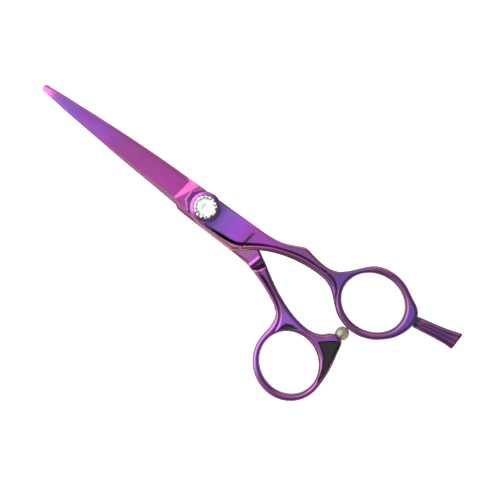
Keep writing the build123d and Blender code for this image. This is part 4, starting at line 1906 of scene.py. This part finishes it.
@dataclass
class Studio:
    """Pale floor, soft light from all round and a camera straight above."""

    aim: tuple[float, float] = (18.14, -2.31)
    object_plane: float = 4.5
    turn: float = 36.5
    width: float = 157.2
    focal: float = 114.5
    sensor: float = 36.0
    fill: Colour = (0.42, 0.52, 0.40)
    panels: Sequence[SoftPanel] = (
        SoftPanel((0.0, 0.0, 1.0), 8.0, 34.0, (1.0, 0.9, 1.3)),
        SoftPanel((-1.0, -0.15, 0.8), 14.0, 48.0, (4.4, 4.1, 3.3)),
        SoftPanel((-0.5, -1.0, 0.35), 12.0, 42.0, (1.4, 1.5, 1.0)),
        SoftPanel((-0.55, 1.0, 0.6), 10.0, 36.0, (1.5, 1.45, 1.2)),
    )
    horizon: Colour = (0.8, 0.9, 0.65)
    horizon_span: tuple[float, float] = (0.28, 0.02)   # heights of a unit ray: where it starts, and is full
    floor_reach: float = 3.0                           # metres
    floor_gap: float = 0.05
    floor_glow: float = 0.75                           # only for the camera's own rays

    def build(self) -> None:
        """Makes the world's light, the floor and the camera."""
        world = bpy.data.worlds.new("soft_studio")
        bpy.context.scene.world = world
        world.use_nodes = True
        graph = Graph(world.node_tree)
        back = world.node_tree.nodes["Background"]
        look = graph.node("ShaderNodeTexCoord").outputs["Generated"]
        height = graph.node("ShaderNodeSeparateXYZ", {0: look}).outputs[2]
        low = scaled(graph, self.horizon, graph.between(height, *self.horizon_span, smooth=True))
        total = graph.node("ShaderNodeCombineXYZ", dict(enumerate(self.fill))).outputs[0]
        for light in [*(panel.glow(graph, look) for panel in self.panels), low]:
            total = graph.node("ShaderNodeVectorMath", {0: total, 1: light}, operation="ADD").outputs[0]
        graph.feed(back, {"Color": total})
        self.floor()
        self.camera()

    def floor(self) -> None:
        """Wide pale plane under the closed shears."""
        mesh = bpy.data.meshes.new("floor")
        reach = self.floor_reach
        corners = [(-reach, -reach, 0), (reach, -reach, 0), (reach, reach, 0), (-reach, reach, 0)]
        mesh.from_pydata(corners, [], [(0, 1, 2, 3)])
        plane = bpy.data.objects.new("floor", mesh)
        plane.location.z = -self.floor_gap * MM
        bpy.context.scene.collection.objects.link(plane)
        material = bpy.data.materials.new("floor_paper")
        material.use_nodes = True
        graph = Graph(material.node_tree)
        seen = graph.node("ShaderNodeLightPath").outputs["Is Camera Ray"]
        graph.feed(material.node_tree.nodes["Principled BSDF"], {
            "Base Color": (0.88, 0.88, 0.88, 1), "Roughness": 0.9, "Specular IOR Level": 0.0,
            "Emission Color": (1, 1, 1, 1),
            "Emission Strength": graph.math("MULTIPLY", seen, self.floor_glow)})
        mesh.materials.append(material)

    def camera(self) -> None:
        """Camera that looks straight down on the object's plane and takes in its whole width."""
        data = bpy.data.cameras.new("camera")
        data.lens = self.focal
        data.sensor_width = self.sensor
        data.clip_start = 0.01
        distance = self.width * self.focal / self.sensor
        camera = bpy.data.objects.new("camera", data)
        camera.location = (self.aim[0] * MM, self.aim[1] * MM, (self.object_plane + distance) * MM)
        camera.rotation_euler = (0, 0, math.radians(self.turn))
        bpy.context.scene.collection.objects.link(camera)
        bpy.context.scene.camera = camera


# ---------------------------------------------------------------------------------------------
# All together
# ---------------------------------------------------------------------------------------------

INDIGO = (0.078, 0.044, 0.15)
BLUE_VIOLET = (0.17, 0.075, 0.30)
VIOLET = (0.225, 0.062, 0.28)
ORCHID = (0.24, 0.050, 0.26)
MAGENTA = (0.25, 0.052, 0.18)
HOT = (0.31, 0.048, 0.21)
DUSK = (0.11, 0.036, 0.14)
GRAPE = (0.24, 0.062, 0.37)
PLUM = (0.15, 0.052, 0.135)
PINK = (0.30, 0.075, 0.27)
RICASSO_REFLECTION = (0.26, 0.10, 0.16)
NECK_SHADE = (0.04, 0.024, 0.038)
BERRY = (0.20, 0.055, 0.17)
DAMSON = (0.11, 0.045, 0.13)

# Indigo at X 4, on the flat beside the dial, is painted shade of the dial.
FINGER_STOPS = ((-64.6, PINK), (-61.5, PINK), (-57.0, BLUE_VIOLET), (-42.0, VIOLET), (-30.0, MAGENTA),
                (-12.0, HOT), (-6.0, HOT), (-1.0, MAGENTA), (4.0, INDIGO), (7.5, BLUE_VIOLET),
                (12.0, GRAPE), (18.0, ORCHID), (24.0, ORCHID), (30.0, PLUM), (44.0, PLUM),
                (47.0, INDIGO), (50.0, INDIGO), (55.0, PLUM), (68.0, PLUM), (72.5, INDIGO),
                (75.5, INDIGO))
# The rose on the thumb half from X -6 to 20 is a painted reflection on the strip beside the finger half.
THUMB_STOPS = ((-64.6, PINK), (-58.0, VIOLET), (-30.0, MAGENTA), (-9.0, MAGENTA), (-6.0, RICASSO_REFLECTION),
               (20.0, RICASSO_REFLECTION), (23.0, ORCHID), (28.0, PLUM), (36.0, PLUM), (43.0, BLUE_VIOLET),
               (50.0, PLUM), (63.0, PLUM))
# On the seat plate, berry at the left end is a painted highlight on the bevel facing the key light, and dusk
# elsewhere is painted shade from the dial.
PLATE_STOPS = ((-7.0, BERRY), (-6.1, DUSK), (5.0, DUSK))
DIAL_STOPS = ((-7.0, ORCHID), (-2.0, VIOLET), (5.0, BLUE_VIOLET))
# The near black at the rest's neck, against the boss, is painted shade.
REST_STOPS = ((75.0, NECK_SHADE), (76.2, NECK_SHADE), (76.9, PLUM), (84.0, DAMSON), (90.0, PLUM))


class Finish(Enum):
    """The finishes that the pieces are dressed in."""

    FINGER = CoatedSteel("finger_coated_steel", FINGER_STOPS, VIOLET, 0.25, masks=True)
    THUMB = CoatedSteel("thumb_coated_steel", THUMB_STOPS, VIOLET, masks=True)
    PLATE = CoatedSteel("plate_steel", PLATE_STOPS, DUSK, 0.1)
    DIAL = CoatedSteel("dial_steel", DIAL_STOPS, VIOLET, turned=True)
    REST = CoatedSteel("rest_steel", REST_STOPS, INDIGO)
    PIVOT = TurnedMetal("pivot_steel", (0.50, 0.50, 0.51), (0.42, 0.41, 0.40), 0.24)
    BRASS = TurnedMetal("bushing_brass", (0.62, 0.46, 0.22), (0.45, 0.31, 0.15), 0.3)
    NYLON = MouldedNylon()
    GLASS = CutGlass()
    FOIL = SilverFoil()
    RUBBER = SoftRubber()


CAD_FINISHES = {
    "pivot_screw": Finish.PIVOT, "click_plate": Finish.PIVOT, "bumper_stud": Finish.PIVOT,
    "click_spring": Finish.PIVOT, "click_ball_1": Finish.PIVOT, "click_ball_2": Finish.PIVOT,
    "finger_rest_stud": Finish.REST, "pivot_bushing": Finish.BRASS, "blade_washer": Finish.NYLON,
}


def dress(thing: bpy.types.Object, material: bpy.types.Material) -> None:
    """Gives an object one material.

    Args:
        thing: the object.
        material: its material.
    """
    thing.data.materials.clear()
    thing.data.materials.append(material)
    for slot in thing.material_slots:
        slot.material = material


def main() -> None:
    """Builds every piece in order, dresses it, and sets the stage."""
    logging.basicConfig(level=logging.INFO, format="%(name)s: %(message)s")
    shop = Workshop()
    materials = {finish: finish.value.make(shop) for finish in Finish}
    finger = FingerHalf("finger_blade", "finger_half", FINGER_HOLE, FINGER_HIGH, FINGER_LOW, FINGER_ROUND,
                        FINGER_CREASE, cut_x=44.0, side=1.0,
                        dense=(((-12.0, -4.0), 66), ((16.0, 18.4), 40)))
    thumb = ThumbHalf("thumb_blade", "thumb_half", THUMB_HOLE, THUMB_HIGH, THUMB_LOW, THUMB_ROUND,
                      THUMB_CREASE, cut_x=36.0, side=-1.0,
                      dense=(((-12.0, -4.0), 50), ((21.5, 27.5), 80)))
    made = [(finger.build(), Finish.FINGER), (thumb.build(), Finish.THUMB)]
    plate, dial, stone, foil = Pivot().build()
    made += [(plate, Finish.PLATE), (dial, Finish.DIAL), (stone, Finish.GLASS), (foil, Finish.FOIL),
             (FingerRest().build(), Finish.REST), (Bumper().build(), Finish.RUBBER)]
    for thing, finish in made:
        dress(thing, materials[finish])
        LOG.info("%s: %d faces", thing.name, len(thing.data.polygons))
    for node, finish in CAD_FINISHES.items():
        dress(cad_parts[node], materials[finish])
        LOG.info("%s: CAD mesh, %s", node, finish.name.lower())
    Studio().build()


if __name__ == "__main__":
    bpy.context.scene.view_settings.view_transform = "Standard"
    main()
